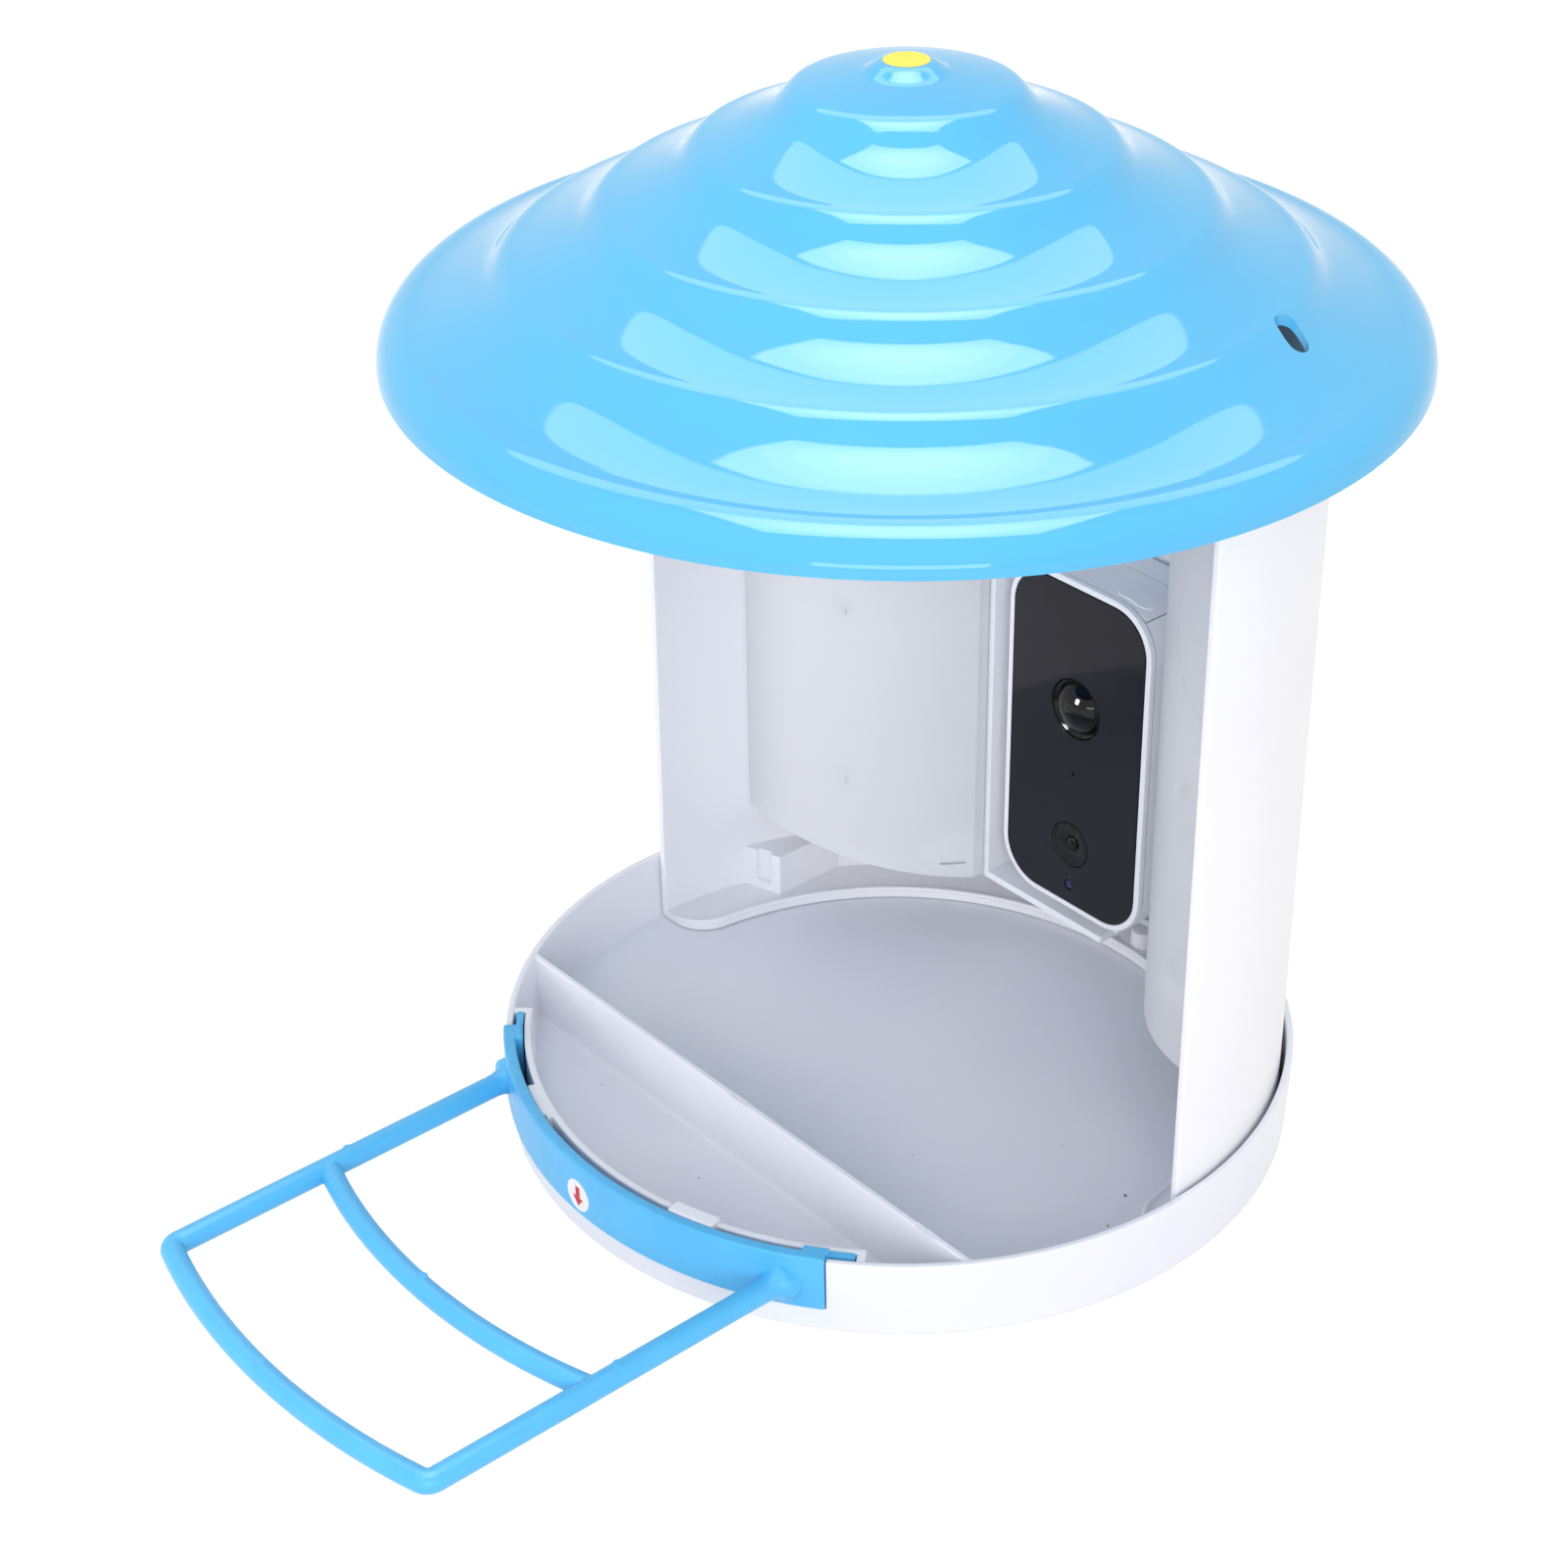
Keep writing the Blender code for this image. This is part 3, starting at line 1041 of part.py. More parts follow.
def make_roof():
    outer_shares = [share for share, fall in STEP_SHARES[:-1]]
    outer = [(radius, roof_height(radius)) for radius in roof_radii(outer_shares)]
    brim_start = ROOF_RADIUS - BRIM_WIDTH
    brim = []
    for step in range(1, CORNER_FLATS + 1):
        turn = math.pi / 2 * step / CORNER_FLATS
        brim.append((brim_start + BRIM_WIDTH * math.sin(turn), BRIM_DROP * math.cos(turn)))
    under = [(ROOF_RADIUS - ROOF_SKIN, 0), (brim_start, BRIM_DROP - ROOF_SKIN)]

    skirt_inner = WALL_RADIUS + GAP
    skirt_outer = skirt_inner + SKIRT_THICKNESS
    seat_inner = skirt_inner - SEAT_WIDTH
    seat_height = WALL_TOP + GAP - ROOF_BASE_Z
    skirt_height = WALL_TOP - SKIRT_DEPTH - ROOF_BASE_Z
    ring = [(skirt_outer, roof_height(skirt_outer) - ROOF_SKIN), (skirt_outer, skirt_height)]
    ring += [(skirt_inner, skirt_height), (skirt_inner, seat_height), (seat_inner, seat_height)]
    ring += [(seat_inner, roof_height(seat_inner) - ROOF_SKIN)]
    inner = [(radius, roof_height(radius) - ROOF_SKIN) for radius in roof_radii(UNDERSIDE_SHARES)]
    inside_ring = [point for point in inner if point[0] < seat_inner - GAP]
    outside_ring = [point for point in inner if skirt_outer + GAP < point[0] < brim_start - GAP]
    profile = outer + brim + under + outside_ring[::-1] + ring + inside_ring[::-1]
    roof = turned_piece("roof", profile, ROOF_FLATS, BLUE, location=(0, 0, ROOF_BASE_Z))

    holes = []
    for angle in (HANG_HOLE_ANGLE, math.pi - HANG_HOLE_ANGLE):
        across = HANG_HOLE_RADIUS * math.cos(angle)
        along = HANG_HOLE_RADIUS * math.sin(angle)
        holes.append(round_piece("hang_hole", (across, along, ROOF_BASE_Z),
                                 (across, along, ROOF_BASE_Z + ROOF_RISE), HANG_HOLE_DIAMETER / 2,
                                 flats=SMALL_FLATS))
    cut(roof, gather("hang_holes", holes))
    shade_round(roof, 50)
    return roof


# Camera. Local frame: the middle of the face, +Y into the camera.

def case_outline(inset):
    """The camera case's front view, inset from its edge."""
    return rounded_rectangle(CASE_WIDTH - 2 * inset, CASE_HEIGHT - 2 * inset, CASE_CORNER - inset)


def face_outline(grow):
    """The black face's front view, grown by a margin."""
    return rounded_rectangle(FACE_WIDTH + 2 * grow, FACE_HEIGHT + 2 * grow, FACE_CORNER + grow)


def case_screw_places():
    return [(side * CASE_SCREW_X, level * CASE_SCREW_RISE) for side in (-1, 1) for level in (-1, 1)]


def make_front_frame(camera):
    back = FRAME_RISE + FRAME_DEPTH
    frame = standing_piece("camera_front_frame", [case_outline(0)], FRAME_RISE, back, WHITE, camera)
    rebate = standing_piece("frame_rebate", [face_outline(GAP)], -OVERRUN, FACE_THICKNESS + GAP,
                            parent=camera)
    window = standing_piece("frame_window", [face_outline(-FRAME_LEDGE)], -OVERRUN, back + OVERRUN,
                            parent=camera)
    cut(frame, rebate, window)
    boss_end = CAMERA_DEPTH - CASE_WALL - CASE_WEB - CASE_SCREW_HEAD_HEIGHT - GAP
    shoulders = []
    bosses = []
    bores = []
    for across, level in case_screw_places():
        start = back - FRAME_RISE
        shoulders.append(round_piece("case_shoulder", (across, start, level),
                                     (across, BOARD_SETBACK - GAP, level), CASE_SHOULDER_DIAMETER / 2,
                                     parent=camera, flats=SMALL_FLATS))
        bosses.append(round_piece("case_boss", (across, start, level), (across, boss_end, level),
                                  CASE_BOSS_DIAMETER / 2, parent=camera, flats=SMALL_FLATS))
        bores.append(round_piece("case_bore", (across, boss_end - CASE_SCREW_BITE, level),
                                 (across, boss_end + OVERRUN, level), CASE_SCREW_SHANK / 2 + GAP,
                                 parent=camera, flats=SMALL_FLATS))
    join(frame, *shoulders, *bosses)
    cut(frame, *bores)
    return frame


def make_face_plate(camera):
    holes = [arc(DOME_RING_RADIUS + GAP, 0, math.tau, ROUND_FLATS, (0, DOME_RISE))[:-1]]
    holes.append(arc(LENS_RING_RADIUS + GAP, 0, math.tau, ROUND_FLATS, (0, -LENS_DROP))[:-1])
    holes.append(arc(LIGHT_RADIUS + GAP, 0, math.tau, SMALL_FLATS, (0, -LIGHT_DROP))[:-1])
    holes.append(arc(MICROPHONE_RADIUS, 0, math.tau, 6, (0, -MICROPHONE_DROP))[:-1])
    return standing_piece("camera_face_plate", [face_outline(0), *holes], 0, FACE_THICKNESS, BLACK_GLOSS,
                          camera)


def make_dome(camera):
    """The motion sensor's dark dome: a shallow cap in a ring, with a flange behind the face plate."""
    back = -FACE_THICKNESS - GAP
    curve_radius = (DOME_RADIUS ** 2 + DOME_HEIGHT ** 2) / (2 * DOME_HEIGHT)
    spread = math.asin(DOME_RADIUS / curve_radius)
    cap = []
    for step in range(CORNER_FLATS + 1):
        turn = spread * step / CORNER_FLATS
        fall = curve_radius * (1 - math.cos(turn))
        cap.append((curve_radius * math.sin(turn), DOME_HEIGHT - DOME_SINK - fall))
    profile = cap + [(DOME_RING_RADIUS, 0), (DOME_RING_RADIUS, back), (DOME_FLANGE_RADIUS, back)]
    profile += [(DOME_FLANGE_RADIUS, back - DOME_FLANGE), (SENSOR_RADIUS + GAP, back - DOME_FLANGE)]
    profile += [(SENSOR_RADIUS + GAP, back), (0, back)]
    dome = turned_piece("sensor_dome", profile, ROUND_FLATS, DARK_GLASS, camera, (0, 0, DOME_RISE), True)
    shade_round(dome)
    return dome


def make_lens(camera):
    """Lens ring with its cone, the glass at the cone's foot, and the barrel behind."""
    back = -FACE_THICKNESS - GAP
    foot = -LENS_CONE_DEPTH
    hole = LENS_GLASS_RADIUS + GAP
    ring_profile = [(hole, foot), (LENS_CONE_RADIUS, 0), (LENS_RING_RADIUS, 0), (LENS_RING_RADIUS, back)]
    ring_profile += [(hole, back), (hole, foot)]
    ring = turned_piece("lens_ring", ring_profile, ROUND_FLATS, BLACK_MATT, camera, (0, 0, -LENS_DROP), True)
    bulge = [(LENS_GLASS_RADIUS * math.sin(math.pi / 2 * step / 3),
              foot + LENS_GLASS_BULGE * math.cos(math.pi / 2 * step / 3)) for step in range(4)]
    glass_profile = bulge + [(LENS_GLASS_RADIUS, back), (0, back)]
    glass = turned_piece("lens_glass", glass_profile, SMALL_FLATS, DARK_GLASS, camera, (0, 0, -LENS_DROP),
                         True)
    barrel = round_piece("lens_barrel", (0, -back + GAP, -LENS_DROP), (0, BOARD_SETBACK - GAP, -LENS_DROP),
                         LENS_BARREL_RADIUS, BLACK_MATT, camera, SMALL_FLATS)
    for made in (ring, glass, barrel):
        shade_round(made)
    return ring, glass, barrel


def make_light_window(camera):
    """A light pipe from the board to the face."""
    return round_piece("status_light_window", (0, GAP, -LIGHT_DROP), (0, BOARD_SETBACK - GAP, -LIGHT_DROP),
                       LIGHT_RADIUS, VIOLET, camera, SMALL_FLATS)


def make_motion_sensor(camera):
    """The metal can of the motion sensor, on the board under the dome."""
    front = FACE_THICKNESS + 2 * GAP
    return round_piece("motion_sensor", (0, front, DOME_RISE), (0, BOARD_SETBACK - GAP, DOME_RISE),
                       SENSOR_RADIUS, STEEL, camera, SMALL_FLATS)


def cover_path(inset, clearance):
    """The case's top edge in front view, from the cover's left end to its right end on the corner."""
    corner = (CASE_WIDTH / 2 - CASE_CORNER, CASE_HEIGHT / 2 - CASE_CORNER)
    last = math.pi / 2 - COVER_END_TURN - clearance / CASE_CORNER
    path = [(-COVER_LEFT - clearance, CASE_HEIGHT / 2 - inset)]
    return path + arc(CASE_CORNER - inset, math.pi / 2, last, CORNER_FLATS, corner)


def cover_band(clearance, outer_inset, depth):
    """The cover's front view: a strip that follows the case, longer by a clearance at both ends."""
    return cover_path(outer_inset, clearance) + cover_path(depth, clearance)[::-1]


def cover_plan(clearance, front):
    """The cover seen from above: its two right corners are round."""
    right = CASE_WIDTH / 2
    back = CASE_FRONT + COVER_WIDTH + clearance
    end = CASE_WIDTH / 2 - CASE_CORNER + CASE_CORNER * math.sin(COVER_END_TURN) + clearance
    corner = COVER_END_ROUND + clearance
    outline = [(-right, back), (-right, front)]
    outline += arc(corner, -math.pi / 2, 0, CORNER_FLATS, (end - corner, front + corner))
    return outline + arc(corner, 0, math.pi / 2, CORNER_FLATS, (end - corner, back - corner))


def make_rear_case(camera):
    front = CASE_FRONT
    block = standing_piece("camera_rear_case", [case_outline(0)], front - CASE_BACK_ROUND - OVERRUN,
                           CAMERA_DEPTH, WHITE, camera)
    bevel = block.modifiers.new("back_round", "BEVEL")
    bevel.width = CASE_BACK_ROUND
    bevel.segments = 2
    bevel.limit_method = "ANGLE"
    bevel.angle_limit = math.radians(60)
    reach = CASE_HEIGHT
    trim = box_piece("case_trim", (-reach, -reach, -reach), (reach, front, reach), parent=camera)
    hollow = standing_piece("case_hollow", [case_outline(CASE_WALL)], front - OVERRUN,
                            CAMERA_DEPTH - CASE_WALL, parent=camera)
    groove = standing_piece("seal_groove", [case_outline(SEAL_INSET)], front - OVERRUN,
                            front + SEAL_THICKNESS + GAP, parent=camera)
    cut(block, trim, hollow, groove)

    posts = []
    wells = []
    post_front = CAMERA_DEPTH - CASE_WALL - CASE_WEB - CASE_SCREW_HEAD_HEIGHT
    for across, level in case_screw_places():
        posts.append(round_piece("case_post", (across, post_front, level),
                                 (across, CAMERA_DEPTH - GAP, level), CASE_SHOULDER_DIAMETER / 2,
                                 parent=camera, flats=SMALL_FLATS))
        well_floor = post_front + CASE_WEB
        profile = [(0, OVERRUN), (CASE_SCREW_HEAD / 2 + GAP, OVERRUN)]
        profile += [(CASE_SCREW_HEAD / 2 + GAP, well_floor - CAMERA_DEPTH)]
        profile += [(CASE_SCREW_SHANK / 2 + GAP, well_floor - CAMERA_DEPTH)]
        profile += [(CASE_SCREW_SHANK / 2 + GAP, post_front - CAMERA_DEPTH - OVERRUN)]
        profile += [(0, post_front - CAMERA_DEPTH - OVERRUN)]
        well = turned_piece("case_well", profile, SCREW_FLATS, parent=camera,
                            location=(across, CAMERA_DEPTH, level))
        well.rotation_euler = (math.radians(-90), 0, 0)
        wells.append(well)
    join(block, *posts)
    cut(block, *wells)

    recess = standing_piece("cover_recess", [cover_band(GAP, -OVERRUN, COVER_THICKNESS + GAP)],
                            CASE_FRONT - OVERRUN, CASE_FRONT + COVER_WIDTH + GAP, parent=camera)
    top = CASE_HEIGHT / 2
    half_socket = SOCKET_WIDTH / 2 + GAP
    half_depth = SOCKET_DEPTH / 2 + GAP
    socket_hole = box_piece("socket_hole", (SOCKET_X - half_socket, PORT_Y - half_depth, top / 2),
                            (SOCKET_X + half_socket, PORT_Y + half_depth, top + OVERRUN), parent=camera)
    button_hole = round_piece("button_hole", (BUTTON_X, PORT_Y, top / 2), (BUTTON_X, PORT_Y, top + OVERRUN),
                              BUTTON_RADIUS + GAP, parent=camera, flats=SMALL_FLATS)
    cut(block, recess, socket_hole, button_hole)
    shade_round(block)
    return block


def make_seal(camera):
    front = CASE_FRONT + GAP
    ring = [case_outline(SEAL_INSET + GAP), case_outline(SEAL_INSET + GAP + SEAL_WIDTH)]
    return standing_piece("case_seal", ring, front, front + SEAL_THICKNESS - GAP, RUBBER, camera)


def make_case_screws(camera):
    seat = CAMERA_DEPTH - CASE_WALL - CASE_SCREW_HEAD_HEIGHT
    for number, (across, level) in enumerate(case_screw_places(), 1):
        back_screw(f"case_screw_{number}", (across, seat, level), CASE_SCREW_HEAD, CASE_SCREW_HEAD_HEIGHT,
                   CASE_SCREW_SHANK, CASE_WEB + CASE_SCREW_BITE - GAP, camera)


def make_board(camera):
    """The circuit board with its processor, radio and switch on the back and front."""
    back = BOARD_SETBACK + BOARD_THICKNESS
    half_width = BOARD_WIDTH / 2
    board = box_piece("circuit_board", (-half_width, BOARD_SETBACK, BOARD_BOTTOM),
                      (half_width, back, BOARD_TOP), BOARD_GREEN, camera)
    for drop in CHIP_DROPS:
        level = DOME_RISE - drop
        join(board, box_piece("chip", (-CHIP_SIZE / 2, BOARD_SETBACK - CHIP_THICKNESS, level - CHIP_SIZE / 3),
                              (CHIP_SIZE / 2, BOARD_SETBACK + GAP, level + CHIP_SIZE / 3), parent=camera))
    switch_low = (BUTTON_X - BUTTON_RADIUS, PORT_Y - BUTTON_RADIUS, BOARD_TOP - CHIP_SIZE / 3)
    switch_high = (BUTTON_X + BUTTON_RADIUS, PORT_Y + BUTTON_RADIUS, button_bottom() - BUTTON_TRAVEL - GAP)
    join(board, box_piece("switch", switch_low, switch_high, parent=camera))
    return board


def button_bottom():
    """The height of the power button's lower end above the face's middle."""
    return SOCKET_TOP - BUTTON_LENGTH


def make_power_button(camera):
    """A plunger in the recess floor, kept in by a flange under the case's wall."""
    top = button_bottom() + BUTTON_LENGTH
    flange_top = CASE_HEIGHT / 2 - CASE_WALL - GAP
    flange_radius = BUTTON_RADIUS + BUTTON_FLANGE
    flange_low = flange_top - BUTTON_FLANGE_HEIGHT
    low = button_bottom()
    profile = [(0, 0), (BUTTON_RADIUS, 0), (BUTTON_RADIUS, flange_top - top)]
    profile += [(flange_radius, flange_top - top), (flange_radius, flange_low - top)]
    profile += [(BUTTON_RADIUS, flange_low - top), (BUTTON_RADIUS, low - top), (0, low - top)]
    return turned_piece("power_button", profile, SMALL_FLATS, BLACK_MATT, camera, (BUTTON_X, PORT_Y, top))


def make_socket(camera):
    """The charging socket: a flat metal tube, closed at its foot, on the board's top edge."""
    low = (SOCKET_X - SOCKET_WIDTH / 2, PORT_Y - SOCKET_DEPTH / 2, SOCKET_TOP - SOCKET_LENGTH)
    high = (SOCKET_X + SOCKET_WIDTH / 2, PORT_Y + SOCKET_DEPTH / 2, SOCKET_TOP)
    socket = box_piece("charging_socket", low, high, STEEL, camera)
    mouth_low = (low[0] + SOCKET_SHELL, low[1] + SOCKET_SHELL, low[2] + 2 * SOCKET_SHELL)
    mouth_high = (high[0] - SOCKET_SHELL, high[1] - SOCKET_SHELL, high[2] + OVERRUN)
    cut(socket, box_piece("socket_mouth", mouth_low, mouth_high, parent=camera))
    return socket


def make_battery(camera):
    back = BOARD_SETBACK + BOARD_THICKNESS + GAP
    half_width = BATTERY_WIDTH / 2
    low = (-half_width, back, BATTERY_BOTTOM)
    high = (half_width, back + BATTERY_THICKNESS, BATTERY_TOP)
    return box_piece("battery_pack", low, high, BATTERY_GREY, camera, BATTERY_ROUND)


def make_speaker(camera):
    front = BOARD_SETBACK + BOARD_THICKNESS + GAP
    return round_piece("loudspeaker", (0, front, -SPEAKER_DROP),
                       (0, front + SPEAKER_THICKNESS, -SPEAKER_DROP), SPEAKER_RADIUS, BLACK_MATT, camera,
                       ROUND_FLATS)


def make_port_cover(hinge, camera):
    """The rubber strip over the socket and the button, with a finger grip, on its own hinge empty."""
    front = CASE_FRONT
    cover = standing_piece("port_cover", [cover_band(0, 0, COVER_THICKNESS)], front, front + COVER_WIDTH,
                           RUBBER)
    low = CASE_HEIGHT / 2 - CASE_CORNER
    high = CASE_HEIGHT / 2 + OVERRUN
    plan = flat_piece("cover_plan", [cover_plan(0, front)], low, high)

    ends = GRIP_WIDTH / 2
    grip_y = front + GRIP_SETBACK + ends
    outline = arc(ends, -math.pi / 2, math.pi / 2, CORNER_FLATS, (GRIP_RIGHT - ends, grip_y))
    outline += arc(ends, math.pi / 2, math.pi * 1.5, CORNER_FLATS, (GRIP_RIGHT - GRIP_LENGTH + ends, grip_y))
    grip = standing_piece("cover_grip", [cover_band(-GRIP_SETBACK, -GRIP_RISE, COVER_THICKNESS / 2)],
                          front, front + COVER_WIDTH)
    grip_plan = flat_piece("grip_plan", [outline], low, high)
    boolean(grip, grip_plan, "INTERSECT")
    boolean(cover, plan, "INTERSECT")
    join(cover, grip)
    for made in (cover, plan, grip, grip_plan):
        made.parent = hinge
        made.matrix_parent_inverse = Matrix.Translation(camera.location - hinge.location)
    shade_round(cover)
    return cover


def make_camera():
    camera = add_pivot("camera_axis", (0, FACE_Y, FACE_CENTRE_Z))
    bpy.context.view_layer.update()
    make_front_frame(camera)
    make_face_plate(camera)
    make_dome(camera)
    make_lens(camera)
    make_light_window(camera)
    make_motion_sensor(camera)
    make_rear_case(camera)
    make_seal(camera)
    make_case_screws(camera)
    make_board(camera)
    make_power_button(camera)
    make_socket(camera)
    make_battery(camera)
    make_speaker(camera)
    case_top = FACE_CENTRE_Z + CASE_HEIGHT / 2
    hinge = add_pivot("port_cover_axis", (-COVER_LEFT, FACE_Y + COVER_Y, case_top))
    make_port_cover(hinge, camera)


make_tray()
make_tray_screws()
make_perch()
make_body_wall()
make_wall_screws()
make_hopper("hopper_left", -1)
make_hopper("hopper_right", 1)
make_camera_pocket()
make_roof()
make_camera()
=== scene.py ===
"""The looks of the bird feeder: fine surfaces, materials, stickers, lights and the camera.

Metres, +Z up, the perch towards -Y. Shapes follow the frame's sizes, which are repeated here by name.
"""
from math import acos, asin, atan2, cos, hypot, pi, radians, sin, sqrt, tan, tau

import bmesh
import bpy
from mathutils import Matrix, Vector


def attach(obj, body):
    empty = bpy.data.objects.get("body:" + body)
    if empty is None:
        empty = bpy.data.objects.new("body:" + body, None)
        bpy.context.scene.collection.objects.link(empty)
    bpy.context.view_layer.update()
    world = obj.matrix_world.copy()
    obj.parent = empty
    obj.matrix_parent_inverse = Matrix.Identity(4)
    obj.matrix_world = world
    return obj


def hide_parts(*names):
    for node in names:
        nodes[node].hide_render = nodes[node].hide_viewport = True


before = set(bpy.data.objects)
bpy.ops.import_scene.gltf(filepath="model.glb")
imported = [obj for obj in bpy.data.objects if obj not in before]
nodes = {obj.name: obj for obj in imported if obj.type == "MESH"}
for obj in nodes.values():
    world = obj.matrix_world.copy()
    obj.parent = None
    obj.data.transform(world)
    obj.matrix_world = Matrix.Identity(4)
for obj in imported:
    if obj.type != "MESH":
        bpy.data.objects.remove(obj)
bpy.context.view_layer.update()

# Fits that all pieces share
GAP = 0.0003
OVERRUN = 0.002
WELD = 0.000005

# Tray
TRAY_RADIUS = 0.100
TRAY_TAPER = 0.0008
RIM_HEIGHT = 0.021
RIM_WALL = 0.0018
RIM_INNER_RADIUS = TRAY_RADIUS - RIM_WALL
RIM_MIDDLE_RADIUS = TRAY_RADIUS - (RIM_WALL + TRAY_TAPER) / 2
FLOOR = 0.0020
FLOOR_FILLET = 0.0015
FLOOR_CORNER = 0.0022
BASE_CORNER = 0.0009
PARTITION_DISTANCE = 0.0535
PARTITION_WALL = 0.0018
PARTITION_FILLET = 0.0016
FILLET_FOOT = 2.1
PARTITION_DIPS = ((-0.0027, 0.0043), (0.0648, 0.0717))
DIP_DEPTH = 0.0002
SLOT_WALL = 0.0018
SLOT_WALL_RADIUS = RIM_INNER_RADIUS - 0.0029
SLOT_INNER_RADIUS = SLOT_WALL_RADIUS - SLOT_WALL
SLOT_FLOOR_HEIGHT = 0.0067
SLOT_RIB = 0.0022
GUIDE_LENGTH = 0.0130
GUIDE_ANGLES = (radians(-19.5), radians(17.4))
CLIP_RISE = 0.0008
CLIP_WIDTH = 0.0042
HOOK_BASE_ENDS = (-0.001, 0.018)
HOOK_ARM_ENDS = (-0.002, 0.046)
HOOK_ARM_WIDTH = 0.0007
HOOK_ARM_DROP = 0.0012
SPECKS = ((0.0743, 0.0074, 0.00034), (0.0795, -0.0041, 0.00026), (0.0501, 0.0098, 0.00016),
          (-0.0003, -0.0663, 0.00020), (-0.0461, -0.0607, 0.00018), (0.0283, -0.0207, 0.00014))

# Perch
PLATE_HALF_ANGLE = radians(37.8)
PLATE_THICKNESS = 0.0030
PLATE_RADIUS = TRAY_RADIUS + 0.0005
PLATE_INNER_RADIUS = PLATE_RADIUS - PLATE_THICKNESS
PERCH_BOTTOM = SLOT_FLOOR_HEIGHT + GAP
PERCH_TOP = RIM_HEIGHT + 0.0010
TONGUE_OVERLAP = 0.0060
TONGUE_INNER_RADIUS = SLOT_WALL_RADIUS + GAP
TONGUE_OUTER_RADIUS = TONGUE_INNER_RADIUS + 0.0017
TONGUE_END_ANGLE = PLATE_HALF_ANGLE + 0.0068 / TRAY_RADIUS
RAIL_RADIUS = 0.0029
RAIL_SPACING = 2 * (PLATE_RADIUS * sin(PLATE_HALF_ANGLE) - 0.0094)
RAIL_HEIGHT = 0.0130
RAIL_REACH = PLATE_RADIUS + 0.0835
RAIL_FLARE = 0.0024
RAIL_FLARE_LENGTH = 0.0046
RAIL_CORNER = 0.0024
OUTER_BOW = 0.0075
MIDDLE_BAR_RADIUS = 0.0028
MIDDLE_BAR_DISTANCE = RAIL_REACH - 0.0445
MIDDLE_BOW = 0.0085
EJECTOR_MARKS = ((-0.0525, -0.1335), (-0.0014, -0.1474), (-0.0017, -0.1915), (0.0519, -0.1319))
EJECTOR_RADIUS = 0.0013
EJECTOR_DEPTH = 0.0012
EJECTOR_RISE = 0.00004
EJECTOR_EDGE = 0.0001

# Half-round wall and its flange
WALL_RADIUS = RIM_INNER_RADIUS - 0.0012
WALL_THICKNESS = 0.0020
WALL_INNER_RADIUS = WALL_RADIUS - WALL_THICKNESS
WALL_BOTTOM = FLOOR + GAP
WALL_TOP = 0.2130
FLANGE_INNER_RADIUS = WALL_INNER_RADIUS - 0.0140
FLANGE_TOP = WALL_BOTTOM + 0.0020
FLANGE_END_ROUND = 0.0095
FLANGE_END_ANGLE = radians(7.0)
BEAD_INSET = 0.0003
BEAD_WIDTH = 0.0013
BEAD_HEIGHT = 0.0009
POST_RADIUS = 0.0033
POST_HEIGHT = 0.0050
POST_ANGLE = radians(87.4)
POST_INSET = 0.0080
BLOCK_HEIGHT = 0.0122
BLOCK_WIDTH = 0.0112
BLOCK_FRONT_Y = 0.0291
BLOCK_SLANT = radians(19.0)
GROOVE_WIDTH = 0.0045
GROOVE_DEPTH = 0.0015
GROOVE_HEIGHT = 0.0095
GROOVE_SHARE = 0.45

# Hopper bins
POCKET_HALF_WIDTH = 0.0307
POCKET_WALL = 0.0018
POCKET_OUTER_X = POCKET_HALF_WIDTH + POCKET_WALL
POCKET_CORNER_Y = sqrt(WALL_INNER_RADIUS ** 2 - POCKET_OUTER_X ** 2) - 0.00067
POCKET_BACK_Y = POCKET_CORNER_Y - POCKET_WALL
CAMERA_DEPTH = 0.0258
FACE_Y = POCKET_BACK_Y - GAP - CAMERA_DEPTH
POCKET_FRONT_Y = FACE_Y + 0.0005
BIN_WALL_RADIUS = WALL_INNER_RADIUS - GAP
BIN_POCKET_X = POCKET_OUTER_X + GAP
BIN_POCKET_Y = POCKET_FRONT_Y - 0.00314
BIN_WALL_ANGLE = radians(16.73)
BIN_WALL_X = BIN_WALL_RADIUS * cos(BIN_WALL_ANGLE)
BIN_WALL_Y = BIN_WALL_RADIUS * sin(BIN_WALL_ANGLE)
BIN_BULGE = 0.00891
BIN_CHORD = hypot(BIN_WALL_X - BIN_POCKET_X, BIN_WALL_Y - BIN_POCKET_Y)
BIN_BULGE_RADIUS = ((BIN_CHORD / 2) ** 2 + BIN_BULGE ** 2) / (2 * BIN_BULGE)
BIN_SETBACK_SHARE = (BIN_BULGE_RADIUS - BIN_BULGE) / BIN_CHORD
BIN_CENTRE_X = (BIN_POCKET_X + BIN_WALL_X) / 2 + (BIN_POCKET_Y - BIN_WALL_Y) * BIN_SETBACK_SHARE
BIN_CENTRE_Y = (BIN_POCKET_Y + BIN_WALL_Y) / 2 + (BIN_WALL_X - BIN_POCKET_X) * BIN_SETBACK_SHARE
BIN_SKIN = 0.0018
BIN_FLOOR = 0.0018
BIN_FLOOR_SLOPE = 0.17
BIN_TOP = 0.2120
BIN_EDGE = 0.0007
PORT_LENGTH = 0.0180
PORT_WIDTH = 0.0140
PORT_INSET = 0.0030
PORT_CORNER = 0.0020
FOOT_SLOT_WIDTH = 0.0072
FOOT_SLOT_HEIGHT = 0.0032
FOOT_SLOT_RISE = 0.0006
FOOT_SLOT_INSET = 0.0033
FOOT_SLOT_OPENING = 0.0007
TUBE_X = WALL_RADIUS - 0.0360
TUBE_HEIGHTS = (0.0494, 0.1010)
TUBE_RADIUS = 0.0027
TUBE_LENGTH = 0.0176
STAND_OFF_RADIUS = 0.0042
